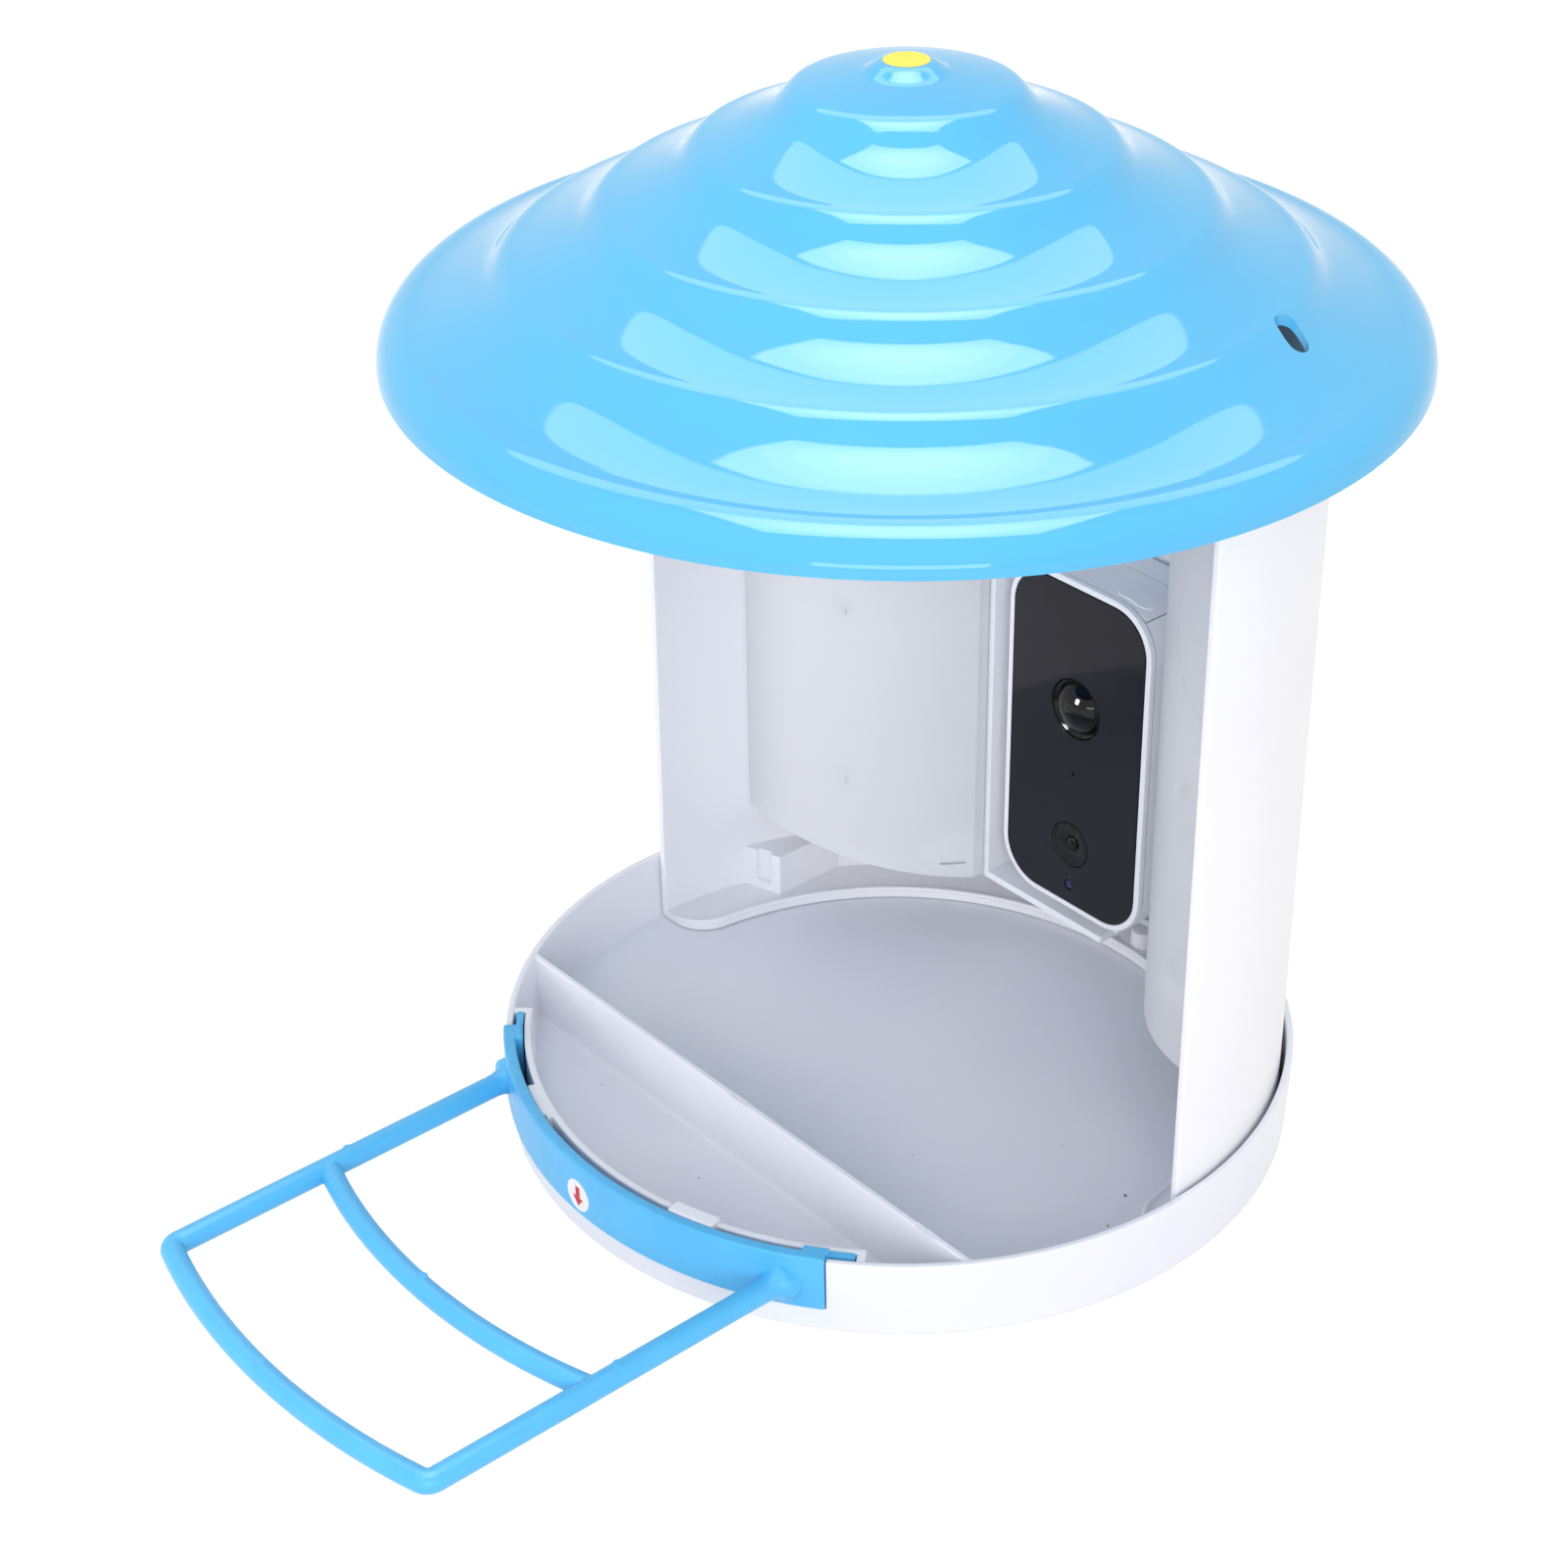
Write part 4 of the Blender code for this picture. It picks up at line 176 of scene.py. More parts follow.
STAND_OFF_WEB = 0.0025
RING_MARK_PLACE = (0.0720, 0.1430)
RING_MARK_RADIUS = 0.0180
RING_MARK_WIDTH = 0.0004
RING_MARK_RISE = 0.00006
RING_MARK_SINK = 0.0001
RING_MARK_REACH = 0.03
RING_MARK_ANGLES = (radians(-170), radians(-100))

# Screws
SCREW_SHANK = 0.0014
SCREW_HOLE = 0.0017
SCREW_HEAD = 0.0026
SCREW_HEAD_HOLE = 0.0030
SCREW_HEAD_HEIGHT = 0.0020
SCREW_BITE = 0.0090
FLOOR_SCREW_HEAD_HEIGHT = 0.0010
FLOOR_SCREW_BITE = 0.0050
RECESS_LENGTH_SHARE = 0.62
RECESS_WIDTH_SHARE = 0.13
RECESS_FLOOR_SHARE = 0.4
SUNK_RECESS_SHARE = 0.8

# Camera pocket
SHELF_TOP = 0.0221
SHELF_THICKNESS = 0.0020
NOTCH_LEFT = 0.0120
NOTCH_DEPTH = 0.0150
POCKET_CORNER = 0.0012
GUIDE_RIB = 0.0015
GUIDE_RIB_SETBACKS = (0.0120, 0.0205)
BEARER_RISE = 0.0034
BEARER_SPACING = 0.0240
BEARER_SETBACK = 0.0055
BEARER_LENGTH = 0.0180
POCKET_BOSS_RADIUS = 0.0035
POCKET_SCREW_HEIGHTS = (0.0600, 0.1600)

# Roof
ROOF_RADIUS = WALL_RADIUS + 0.0210
ROOF_RISE = 0.0637
ROOF_SKIN = 0.0026
ROOF_BASE = WALL_TOP - 0.0055
CAP_RADIUS = 0.0234
CAP_DROP = 0.0050
KNOB_RADIUS = 0.0052
KNOB_EDGE = 0.0052
KNOB_DROP = 0.0022
BRIM_WIDTH = 0.0092
BRIM_DROP = 0.0095
STEP_COUNT = 4
STEP_SHARES = ((0.0, 0.0), (0.0562, 0.0406), (0.1171, 0.126), (0.1874, 0.2633), (0.2482, 0.3797),
               (0.3044, 0.4648), (0.3747, 0.5484), (0.4918, 0.6618), (0.6323, 0.7788), (0.7728, 0.8815),
               (0.8665, 0.9396), (0.9368, 0.9737), (1.0, 1.0))
STEP_PITCH = (ROOF_RADIUS - BRIM_WIDTH - CAP_RADIUS) / STEP_COUNT
STEP_FALL = (ROOF_RISE - CAP_DROP - BRIM_DROP) / STEP_COUNT
SEAT_WIDTH = 0.0030
SKIRT_THICKNESS = 0.0018
SKIRT_DEPTH = 0.0060
HANG_HOLE_SIZE = 0.0038
HANG_HOLE_RADIUS = WALL_RADIUS - 0.0060
HANG_HOLE_ANGLE = radians(20.0)
ROOF_POINTS = 180
BRIM_POINTS = 16
STICKER_SEAT = 0.00015

# Camera: face and case
FACE_WIDTH = 0.0458
FACE_HEIGHT = 0.0929
FACE_CORNER = 0.0110
FACE_THICKNESS = 0.0010
FACE_EDGE = 0.00012
CASE_MARGIN = 0.0019
CASE_WIDTH = FACE_WIDTH + 2 * CASE_MARGIN
CASE_HEIGHT = FACE_HEIGHT + 2 * CASE_MARGIN
CASE_CORNER = FACE_CORNER + CASE_MARGIN
FRAME_RISE = 0.0002
FRAME_BACK = FRAME_RISE + 0.0018
FRAME_LEDGE = 0.0035
CASE_FRONT = FRAME_BACK + GAP
CASE_WALL = 0.0030
CASE_BACK_ROUND = 0.0030
SEAL_INSET = 0.0020
SEAL_THICKNESS = 0.0008
CASE_BOTTOM = SHELF_TOP + BEARER_RISE + GAP
FACE_CENTRE_Z = CASE_BOTTOM + CASE_HEIGHT / 2
GUIDE_RIB_TOP = CASE_BOTTOM + CASE_HEIGHT - 0.0045
DOME_RISE = 0.05885 - FACE_HEIGHT / 2
DOME_RING_RADIUS = 0.0082
DOME_RADIUS = 0.0071
DOME_HEIGHT = 0.0038
DOME_SINK = 0.0009
DOME_FLANGE = 0.0012
DOME_FLANGE_RADIUS = 0.0092
LENS_DROP = FACE_HEIGHT / 2 - 0.01795
LENS_RING_RADIUS = 0.0062
LENS_CONE_RADIUS = 0.0055
LENS_CONE_DEPTH = 0.0010
LENS_GLASS_RADIUS = 0.0019
LENS_GLASS_BULGE = 0.0006
LENS_STEPS = 3
LENS_STEP_RISE = 0.00012
LENS_EDGE = 0.0001
LENS_LIP = 0.0002
LIGHT_DROP = FACE_HEIGHT / 2 - 0.00535
LIGHT_RADIUS = 0.0012
MICROPHONE_DROP = FACE_HEIGHT / 2 - 0.03965
MICROPHONE_RADIUS = 0.0005
BOARD_SETBACK = 0.0066
SENSOR_RADIUS = 0.0046
CASE_SCREW_X = 0.0178
CASE_SCREW_RISE = CASE_HEIGHT / 2 - 0.01535
CASE_SCREW_SHANK = 0.0011
CASE_SCREW_HEAD = 0.0020
CASE_SCREW_HEAD_HEIGHT = 0.0016
CASE_SCREW_BITE = 0.0060
CASE_BOSS_RADIUS = 0.0023
CASE_SHOULDER_RADIUS = 0.0034
CASE_WEB = 0.0020

# Camera: port cover and what it covers
COVER_THICKNESS = 0.0009
COVER_WIDTH = 0.0134
COVER_LEFT = 0.0110
COVER_END_TURN = radians(41.0)
COVER_END_ROUND = 0.0024
COVER_EDGE = 0.00015
GRIP_LENGTH = 0.0109
GRIP_WIDTH = 0.0068
GRIP_RISE = 0.0004
GRIP_RIGHT = 0.0187
GRIP_SETBACK = 0.0010
SOCKET_X = -0.0030
SOCKET_WIDTH = 0.0090
SOCKET_DEPTH = 0.0034
BUTTON_X = 0.0075
BUTTON_RADIUS = 0.0016
PORT_Y = BOARD_SETBACK + 0.0008

# Stickers
STICKER_THICKNESS = 0.00010
ARROW_STICKER_RADIUS = 0.0043
STICKER_ANGLE = radians(-2.2) - pi / 2
STICKER_HEIGHT = 0.0128
DOT_RADIUS = 0.0050
DOT_LIP_RADIUS = 0.00515
DOT_CROWN = 0.00003
DOT_HOLLOW = 0.00004
ARROW = ((-0.0007, 0.0026), (0.0008, 0.0026), (0.0008, -0.0004), (0.0019, -0.0006), (0.0001, -0.0029),
         (-0.0018, -0.0004), (-0.0007, -0.0004))

# The photograph's camera
CAMERA_PLACE = (0.482125, -0.446681, 0.493085)
CAMERA_YAW = radians(49.653)
CAMERA_PITCH = radians(31.567)
CAMERA_ROLL = radians(-0.776)
CAMERA_LENS = 72.55

# Floor, sky and lamps
FLOOR_REACH = 6.0
FLOOR_HEIGHT = -0.0001
FLOOR_COLOUR = (0.72, 0.71, 0.70, 1)
SHADOW_COLOUR = (0.50, 0.50, 0.50, 1)
FLOOR_GLOW = 0.70
SKY_COLOUR = (1.0, 0.985, 0.98, 1)
SKY_STRENGTH = 0.70
LAMP_TARGET = (0, 0, 0.13)
SOFTBOX = (47, 87)
SOFTBOX_SIZE = (0.86, 0.78)

# How finely round shapes are cut
FINE = 256
ARC = 48
CORNER = 12
ROUND = 64
SMALL = 32

# Sides and directions, then limits of corners and noises
SIDES = (-1, 1)
HANDS = (("left", -1), ("right", 1))
FRONT = -pi / 2
FACING_FRONT = Matrix.Rotation(radians(90), 4, "X")
FACING_BACK = Matrix.Rotation(radians(-90), 4, "X")
NEARLY_STRAIGHT = radians(168)
UNDER_HALF = 2.02
TINT_LIMITS = (0.35, 0.65)
GLOSS_LIMITS = (0.3, 0.7)
PLAIN_NOISE = 0.5

# Edge radii, from the finest
HAIR_EDGE = 0.0002
THIN_EDGE = 0.0003
EDGE = 0.0004
SOFT_EDGE = 0.0005
WIDE_EDGE = 0.0006
BROAD_EDGE = 0.0008


# Materials

def linear(colour):
    """An sRGB colour of 0 to 255 as the linear one, with alpha, that shaders take."""
    shares = [channel / 255 for channel in colour]
    return (*(share / 12.92 if share <= 0.04045 else ((share + 0.055) / 1.055) ** 2.4 for share in shares), 1)


def fill(tree, node, inputs):
    """Give a node's inputs, by name or number, their values or the outputs to link to."""
    for socket, value in inputs.items():
        if isinstance(value, bpy.types.NodeSocket):
            tree.links.new(value, node.inputs[socket])
        else:
            node.inputs[socket].default_value = value


def add_node(tree, kind, output, inputs, **settings):
    """The named output of a new shader node."""
    made = tree.nodes.new("ShaderNode" + kind)
    for setting, value in settings.items():
        setattr(made, setting, value)
    fill(tree, made, inputs)
    return made.outputs[output]


def make_material(slot, name, colour, roughness, tint=(), gloss=(), grain=(), **sockets):
    """A slot and its material. The three noises begin with a scale per metre and a detail.

    tint then has the colour to blend towards, gloss the lowest and highest roughness, and grain a bump's
    strength and distance.
    """
    made = bpy.data.materials.new(name)
    made.use_nodes = True
    tree = made.node_tree
    shader = tree.nodes["Principled BSDF"]
    place = tree.nodes.new("ShaderNodeTexCoord").outputs["Object"]

    def noise(scale, detail, rough=PLAIN_NOISE):
        inputs = {"Scale": scale, "Detail": detail, "Roughness": rough, "Vector": place}
        return add_node(tree, "TexNoise", "Fac", inputs)

    def remap(source, low, high, to_low=0, to_high=1):
        return add_node(tree, "MapRange", "Result", {"From Min": low, "From Max": high, "To Min": to_low,
                                                     "To Max": to_high, "Value": source})

    fill(tree, shader, {"Base Color": linear(colour), "Roughness": roughness, **sockets})
    if tint:
        scale, detail, other, low, high = (*tint, *TINT_LIMITS)[:5]
        blend = {"A": linear(colour), "B": linear(other), "Factor": remap(noise(scale, detail), low, high)}
        fill(tree, shader, {"Base Color": add_node(tree, "Mix", "Result", blend, data_type="RGBA")})
    if gloss:
        scale, detail, low, high = gloss
        fill(tree, shader, {"Roughness": remap(noise(scale, detail), *GLOSS_LIMITS, low, high)})
    if grain:
        scale, detail, strength, distance, rough = (*grain, PLAIN_NOISE)[:5]
        bump = {"Strength": strength, "Distance": distance, "Height": noise(scale, detail, rough)}
        fill(tree, shader, {"Normal": add_node(tree, "Bump", "Normal", bump)})
    return slot, made


paint = {
    "roof": make_material("blue_plastic", "glossy_blue", (80, 177, 226), 0.05, (24, 2, (83, 179, 227)),
                          (60, 2, 0.04, 0.06), (34, 1, 0.35, 0.0003), IOR=1.5),
    "perch": make_material("blue_plastic", "grained_blue", (84, 183, 236), 0.34, (60, 2, (80, 178, 232)),
                           (900, 2, 0.28, 0.42), (1500, 2, 0.7, 0.00012, 0.6), IOR=1.48),
    "white": make_material("white_plastic", "white_plastic", (238, 239, 244), 0.34, (18, 1, (236, 237, 243)),
                           (60, 1, 0.32, 0.36), IOR=1.34),
    "tray": make_material("white_plastic", "tray_white", (234, 236, 243), 0.33, (16, 1, (230, 232, 241)),
                          (60, 2, 0.30, 0.38), IOR=1.40),
    "milky": make_material("milky_plastic", "milky_window", (238, 239, 244), 0.40, (20, 0, (237, 238, 243), 0, 1),
                           (60, 0, 0.38, 0.42), IOR=1.36, Alpha=0.72),
    "face": make_material("black_gloss", "black_face", (36, 35, 41), 0.04, (20, 2, (39, 38, 45)),
                          (200, 3, 0.03, 0.06), IOR=1.22),
    "matt": make_material("black_matt", "black_matt", (17, 17, 19), 0.42, (60, 2, (25, 25, 28)),
                          grain=(2500, 2, 0.2, 0.00005), IOR=1.36),
    "glass": make_material("dark_glass", "dark_glass", (7, 7, 10), 0.03, gloss=(150, 2, 0.02, 0.05), IOR=1.36),
    "led": make_material("light_window", "light_window", (24, 20, 62), 0.2, (900, 2, (44, 36, 104))),
    "rubber": make_material("pale_rubber", "pale_rubber", (238, 238, 240), 0.45, (60, 2, (234, 234, 237)),
                            grain=(2400, 2, 0.25, 0.00005)),
    "steel": make_material("steel", "screw_steel", (138, 138, 142), 0.30, gloss=(900, 2, 0.22, 0.42), Metallic=1.0),
    "board": make_material("board_green", "board", (24, 96, 56), 0.4, (260, 2, (18, 78, 46))),
    "wrap": make_material("battery_wrap", "battery_wrap", (96, 100, 108), 0.35, (80, 2, (88, 92, 100))),
    "yellow": make_material("blue_plastic", "yellow_paper", (246, 226, 66), 0.45, (500, 2, (242, 218, 54)),
                            grain=(1500, 2, 0.2, 0.00003)),
    "paper": make_material("blue_plastic", "white_paper", (242, 240, 242), 0.45, (500, 2, (236, 233, 237))),
    "red": make_material("blue_plastic", "red_ink", (196, 36, 46), 0.5, (900, 2, (184, 28, 40))),
    "dirt": make_material("white_plastic", "dirt", (84, 80, 84), 0.8, (3000, 2, (120, 116, 118))),
}


# Mesh helpers

def fan(whole, count):
    """Even steps from 0 to a whole."""
    return [whole * step / count for step in range(count + 1)]


def add_object(name, data):
    made = bpy.data.objects.new(name, data)
    bpy.context.scene.collection.objects.link(made)
    return made


def dress(mesh, look):
    mesh.materials.clear()
    mesh.materials.append(paint[look][1])


def add_piece(name, mesh, look, body, *replaced, smooth=40):
    """A new piece that rides on a body and stands for the nodes named last, which get its material too."""
    made = add_object(name, mesh)
    dress(mesh, look)
    mesh.shade_smooth()
    mesh.set_sharp_from_angle(angle=radians(smooth))
    made.modifiers.new("normals", "WEIGHTED_NORMAL").keep_sharp = True
    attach(made, body)
    if replaced:
        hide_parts(*replaced)
    for node in replaced:
        dress(nodes[node].data, look)
    return made


def moved(mesh, place=(0, 0, 0), turn=Matrix()):
    """The mesh after a turn and then a move."""
    mesh.transform(turn)
    mesh.transform(Matrix.Translation(place))
    return mesh


def to_mesh(shape):
    """The mesh that a bmesh holds."""
    mesh = bpy.data.meshes.new("mesh")
    shape.to_mesh(mesh)
    shape.free()
    return mesh


def tidy_mesh(shape):
    """The same, welded and with its faces turned outwards."""
    bmesh.ops.remove_doubles(shape, verts=shape.verts, dist=WELD)
    bmesh.ops.recalc_face_normals(shape, faces=shape.faces)
    return to_mesh(shape)


def held(*meshes):
    """Several meshes in one bmesh."""
    shape = bmesh.new()
    for mesh in meshes:
        shape.from_mesh(mesh)
    return shape


def turned(profile, steps=FINE, place=(0, 0, 0), turn=Matrix()):
    """A profile of (radius, height) points from axis to axis, or closed, turned about Z."""
    shape = bmesh.new()
    rings = []
    for angle in fan(tau, steps)[:-1]:
        across, along = cos(angle), sin(angle)
        rings.append([shape.verts.new((radius * across, radius * along, height)) for radius, height in profile])
    for here, there in zip(rings, rings[1:] + rings[:1]):
        for side, after in enumerate([*range(1, len(profile)), 0]):
            if profile[side][0] or profile[after][0]:
                shape.faces.new((here[side], here[after], there[after], there[side]))
    bmesh.ops.remove_doubles(shape, verts=shape.verts, dist=WELD)
    bmesh.ops.dissolve_degenerate(shape, edges=shape.edges, dist=WELD)
    return moved(tidy_mesh(shape), place, turn)


def bend(start, corner, end, flats):
    """Points on the curve from start to end that leans towards a corner."""
    return [tuple(start.lerp(corner, share).lerp(corner.lerp(end, share), share)) for share in fan(1, flats)]


def rounded(points, radius, flats=4, closed=True):
    """The outline with its corners rounded, by one radius or by one for each, as far as its sides allow."""
    made = []
    count = len(points)
    radii = radius if isinstance(radius, list) else [radius] * count
    for index, corner in enumerate(points):
        if not closed and index in (0, count - 1):
            made.append(tuple(corner))
            continue
        here = Vector(corner)
        before = Vector(points[index - 1]) - here
        after = Vector(points[(index + 1) % count]) - here
        angle = before.angle(after)
        reach = min(radii[index] / tan(angle / 2), before.length / UNDER_HALF, after.length / UNDER_HALF)
        if reach < 2 * WELD or angle > NEARLY_STRAIGHT:
            made.append(tuple(here))
        else:
            made += bend(here + before.normalized() * reach, here, here + after.normalized() * reach, flats)
    return made


def lathed(points, radii, steps=FINE, place=(0, 0, 0), turn=Matrix(), flats=4):
    """A turned profile from axis to axis with rounded corners."""
    return turned(rounded(points, radii, flats, closed=False), steps, place, turn)


def evaluated(data, kind=None, **settings):
    """The mesh after a modifier, or the welded mesh of a curve without one."""
    guide = add_object("guide", data)
    if kind:
        modifier = guide.modifiers.new(kind, kind)
        for name, value in settings.items():
            setattr(modifier, name, value)
    bpy.context.view_layer.update()
    mesh = bpy.data.meshes.new_from_object(guide.evaluated_get(bpy.context.evaluated_depsgraph_get()))
    bpy.data.objects.remove(guide, do_unlink=True)
    return mesh if kind else tidy_mesh(held(mesh))


def new_curve(dimensions, radius, resolution, *lines):
    """A curve with a round bevel, closed where it is flat."""
    curve = bpy.data.curves.new("curve", "CURVE")
    curve.dimensions = dimensions
    curve.bevel_depth = radius
    curve.bevel_resolution = resolution
    for line in lines:
        spline = curve.splines.new("POLY")
        spline.points.add(len(line) - 1)
        for point, place in zip(spline.points, line):
            point.co = (*place, 0)[:3] + (1,)
        spline.use_cyclic_u = dimensions == "2D"
    return curve


def slab(outlines, low, high, edge=0.0):
    """Flat outlines, the later ones as holes, given a thickness along Z and rounded edges."""
    curve = new_curve("2D", edge, 2, *outlines)
    curve.fill_mode = "BOTH"
    curve.extrude = (high - low) / 2 - edge
    curve.offset = -edge
    return moved(evaluated(curve), (0, 0, (low + high) / 2))


def standing(outlines, front, back, edge=0.0):
    """The same, with the outline drawn in X and Z and the thickness along Y."""
    return moved(slab(outlines, -back, -front, edge), turn=FACING_FRONT)


def rod(points, radius):
    """A round bar along the points, with filled ends."""
    curve = new_curve("3D", radius, SMALL // 4 - 1, points)
    curve.use_fill_caps = True
    return evaluated(curve)


def boolean(operation, base, *tools):
    """The Boolean of meshes, one after another. A list of tools that don't touch counts as one."""
    for tool in tools:
        helper = add_object("tool", to_mesh(held(*tool)) if isinstance(tool, list) else tool)
        base = evaluated(base, "BOOLEAN", operation=operation, object=helper, solver="MANIFOLD")
        bpy.data.objects.remove(helper, do_unlink=True)
    return base


def join(base, *tools):
    return boolean("UNION", base, *tools)


def cut(base, *tools):
    return boolean("DIFFERENCE", base, *tools)


def cylinder(start, end, radius, flats=SMALL):
    start, end = Vector(start), Vector(end)
    axis = end - start
    shape = bmesh.new()
    bmesh.ops.create_cone(shape, cap_ends=True, segments=flats, radius1=radius, radius2=radius, depth=axis.length)
    mesh = to_mesh(shape)
    mesh.transform(Matrix.Translation((start + end) / 2) @ axis.to_track_quat("Z", "Y").to_matrix().to_4x4())
    return mesh


def pegs(places, start, end, radius, flats=SMALL):
    """Cylinders along Y at places of X and Z."""
    return [cylinder((across, start, height), (across, end, height), radius, flats) for across, height in places]


def wells(places, outside, seat, end, head_hole, screw_hole):
    """Tools along Y at places of X and Z for a screw's head, down to its seat, and for its shank."""
    profile = [(0, outside), (head_hole, outside), (head_hole, seat), (screw_hole, seat), (screw_hole, end), (0, end)]
    return [turned(profile, SMALL, (across, 0, height), FACING_BACK) for across, height in places]


def block(low, high, edge=0.0):
    """A block between two corners, its edges rounded."""
    shape = bmesh.new()
    bmesh.ops.create_cube(shape, size=1)
    bmesh.ops.scale(shape, vec=Vector(high) - Vector(low), verts=shape.verts)
    bmesh.ops.translate(shape, vec=(Vector(high) + Vector(low)) / 2, verts=shape.verts)
    if edge:
        bmesh.ops.bevel(shape, geom=shape.edges, offset=edge, segments=3, profile=0.5, affect="EDGES")
    return to_mesh(shape)


# Outlines

def arc(radius, first, last, flats=ARC, centre=(0, 0)):
    """Points on a circle, from one angle to another. Angles count from +X towards +Y."""
    angles = [first + turn for turn in fan(last - first, flats)]
    return [(centre[0] + radius * cos(angle), centre[1] + radius * sin(angle)) for angle in angles]


def circle(radius, flats=ROUND, centre=(0, 0)):
    return arc(radius, 0, tau, flats, centre)[:-1]


def rectangle(left, near, right, far):
    return [(left, near), (right, near), (right, far), (left, far)]


def front_slab(inner, outer, left, right, flats, low, high, edge=0.0, corner=0.0):
    """A slice of a flat ring. Its angles count from the front, positive to the right."""
    outline = arc(outer, FRONT + left, FRONT + right, flats) + arc(inner, FRONT + right, FRONT + left, flats)
    return slab([rounded(outline, corner) if corner else outline], low, high, edge)


def rounded_rectangle(width, height, corner):
    """An upright rectangle with round corners."""
    outline = []
    for turn, (side, level) in enumerate(((1, 1), (-1, 1), (-1, -1), (1, -1))):
        first = turn * pi / 2
        centre = (side * (width / 2 - corner), level * (height / 2 - corner))
        outline += arc(corner, first, first + pi / 2, CORNER, centre)
    return outline


def half_chord(radius, offset):
    """Half the length of the chord that lies at an offset from a circle's centre."""
    return sqrt(max(radius * radius - offset * offset, 0))


def mirrored(outline, side):
    return [(side * across, along) for across, along in outline]


# Tray

def floor_screw_places():
    """Where the three screws go up through the tray into the flange's post and blocks."""
    post_radius = WALL_INNER_RADIUS - POST_INSET
    across, along = block_inner_x() + BLOCK_WIDTH / 2, BLOCK_FRONT_Y + BLOCK_WIDTH / 2
    post = (post_radius * cos(POST_ANGLE), post_radius * sin(POST_ANGLE))
    return [post, (-across, along), (across, along)]


def partition_mesh():
    """The straight wall across the tray, filleted at its foot, with two shallow dips in its top."""
    far = -PARTITION_DISTANCE - PARTITION_WALL / 2
    near = -PARTITION_DISTANCE + PARTITION_WALL / 2
    top = RIM_HEIGHT - GAP
    buried = FLOOR / 2
    fillet = PARTITION_FILLET
    foot = FILLET_FOOT * fillet
    outline = [(far - foot, buried), (far - foot, FLOOR + WELD), (far, FLOOR + WELD), (far, top), (near, top),
               (near, FLOOR + WELD), (near + foot, FLOOR + WELD), (near + foot, buried)]
    outline = rounded(outline, [0, 0, fillet, SOFT_EDGE, SOFT_EDGE, fillet, 0, 0], 6)
    mesh = slab([outline], -TRAY_RADIUS, TRAY_RADIUS)
    mesh.transform(Matrix(((0, 0, 1, 0), (1, 0, 0, 0), (0, 1, 0, 0), (0, 0, 0, 1))))
    mesh = boolean("INTERSECT", mesh, cylinder((0, 0, 0), (0, 0, 2 * RIM_HEIGHT), RIM_MIDDLE_RADIUS, FINE))
    return cut(mesh, [block((left, far - fillet, top - DIP_DEPTH), (right, near + fillet, top + OVERRUN))
                      for left, right in PARTITION_DIPS])


def make_tray():
    foot_radius = TRAY_RADIUS - TRAY_TAPER
    tray = lathed([(0, FLOOR), (foot_radius - RIM_WALL, FLOOR), (RIM_INNER_RADIUS, RIM_HEIGHT),
                   (TRAY_RADIUS, RIM_HEIGHT), (foot_radius, 0), (0, 0)],
                  [0, FLOOR_CORNER, WIDE_EDGE, WIDE_EDGE, BASE_CORNER, 0], flats=8)
    gap = PLATE_HALF_ANGLE + GAP / TRAY_RADIUS
    tray = cut(tray, front_slab(SLOT_WALL_RADIUS, TRAY_RADIUS + OVERRUN, -gap, gap, 2 * ARC, SLOT_FLOOR_HEIGHT,
                                RIM_HEIGHT + OVERRUN))

    low = FLOOR / 2
    top = RIM_HEIGHT - GAP
    first = TONGUE_END_ANGLE + GAP / TRAY_RADIUS
    last = first + SLOT_RIB / TRAY_RADIUS
    middle = SLOT_INNER_RADIUS + SLOT_WALL / 2
    guide = GUIDE_LENGTH / 2 / TRAY_RADIUS
    clip = guide - GAP
    reach = PLATE_INNER_RADIUS - GAP
    left, right = GUIDE_ANGLES
    hook = left + guide
    tray = join(
        tray, partition_mesh(),
        front_slab(SLOT_INNER_RADIUS, SLOT_WALL_RADIUS, -last, last, 2 * ARC, low, top, EDGE),
        *[front_slab(middle, RIM_MIDDLE_RADIUS, *ends, 4, low, top + WELD, THIN_EDGE)
          for ends in ((-last, -first), (first, last))],
        *[front_slab(middle, reach, place - guide, place + guide, 8, low, top - WELD, THIN_EDGE)
          for place in GUIDE_ANGLES],
        front_slab(reach - CLIP_WIDTH, reach - 2 * WELD, right - clip, right + clip, 8, RIM_HEIGHT - CLIP_WIDTH / 2,
                   RIM_HEIGHT + CLIP_RISE, SOFT_EDGE, WIDE_EDGE),
        front_slab(middle, reach - 2 * GAP, hook + HOOK_BASE_ENDS[0], hook + HOOK_BASE_ENDS[1], 4, low,
                   top + 2 * WELD, HAIR_EDGE),
        front_slab(reach - HOOK_ARM_WIDTH, reach + 2 * WELD, hook + HOOK_ARM_ENDS[0], hook + HOOK_ARM_ENDS[1], 6,
                   SLOT_FLOOR_HEIGHT, top - HOOK_ARM_DROP, HAIR_EDGE))

    hole = [(0, FLOOR + OVERRUN), (SCREW_HOLE, FLOOR + OVERRUN), (SCREW_HOLE, FLOOR_SCREW_HEAD_HEIGHT + GAP),
            (SCREW_HEAD_HOLE, GAP), (SCREW_HEAD_HOLE, -OVERRUN), (0, -OVERRUN)]
    tray = cut(tray, [turned(hole, SMALL, (*place, 0)) for place in floor_screw_places()])
    add_piece("tray_bowl", tray, "tray", "base", "tray", smooth=32)
    crumbs = [turned(rounded(rectangle(0, 0, size, size), size / 2), 10, (across, along, FLOOR))
              for across, along, size in SPECKS]
    add_piece("floor_specks", to_mesh(held(*crumbs)), "dirt", "base")


# Perch

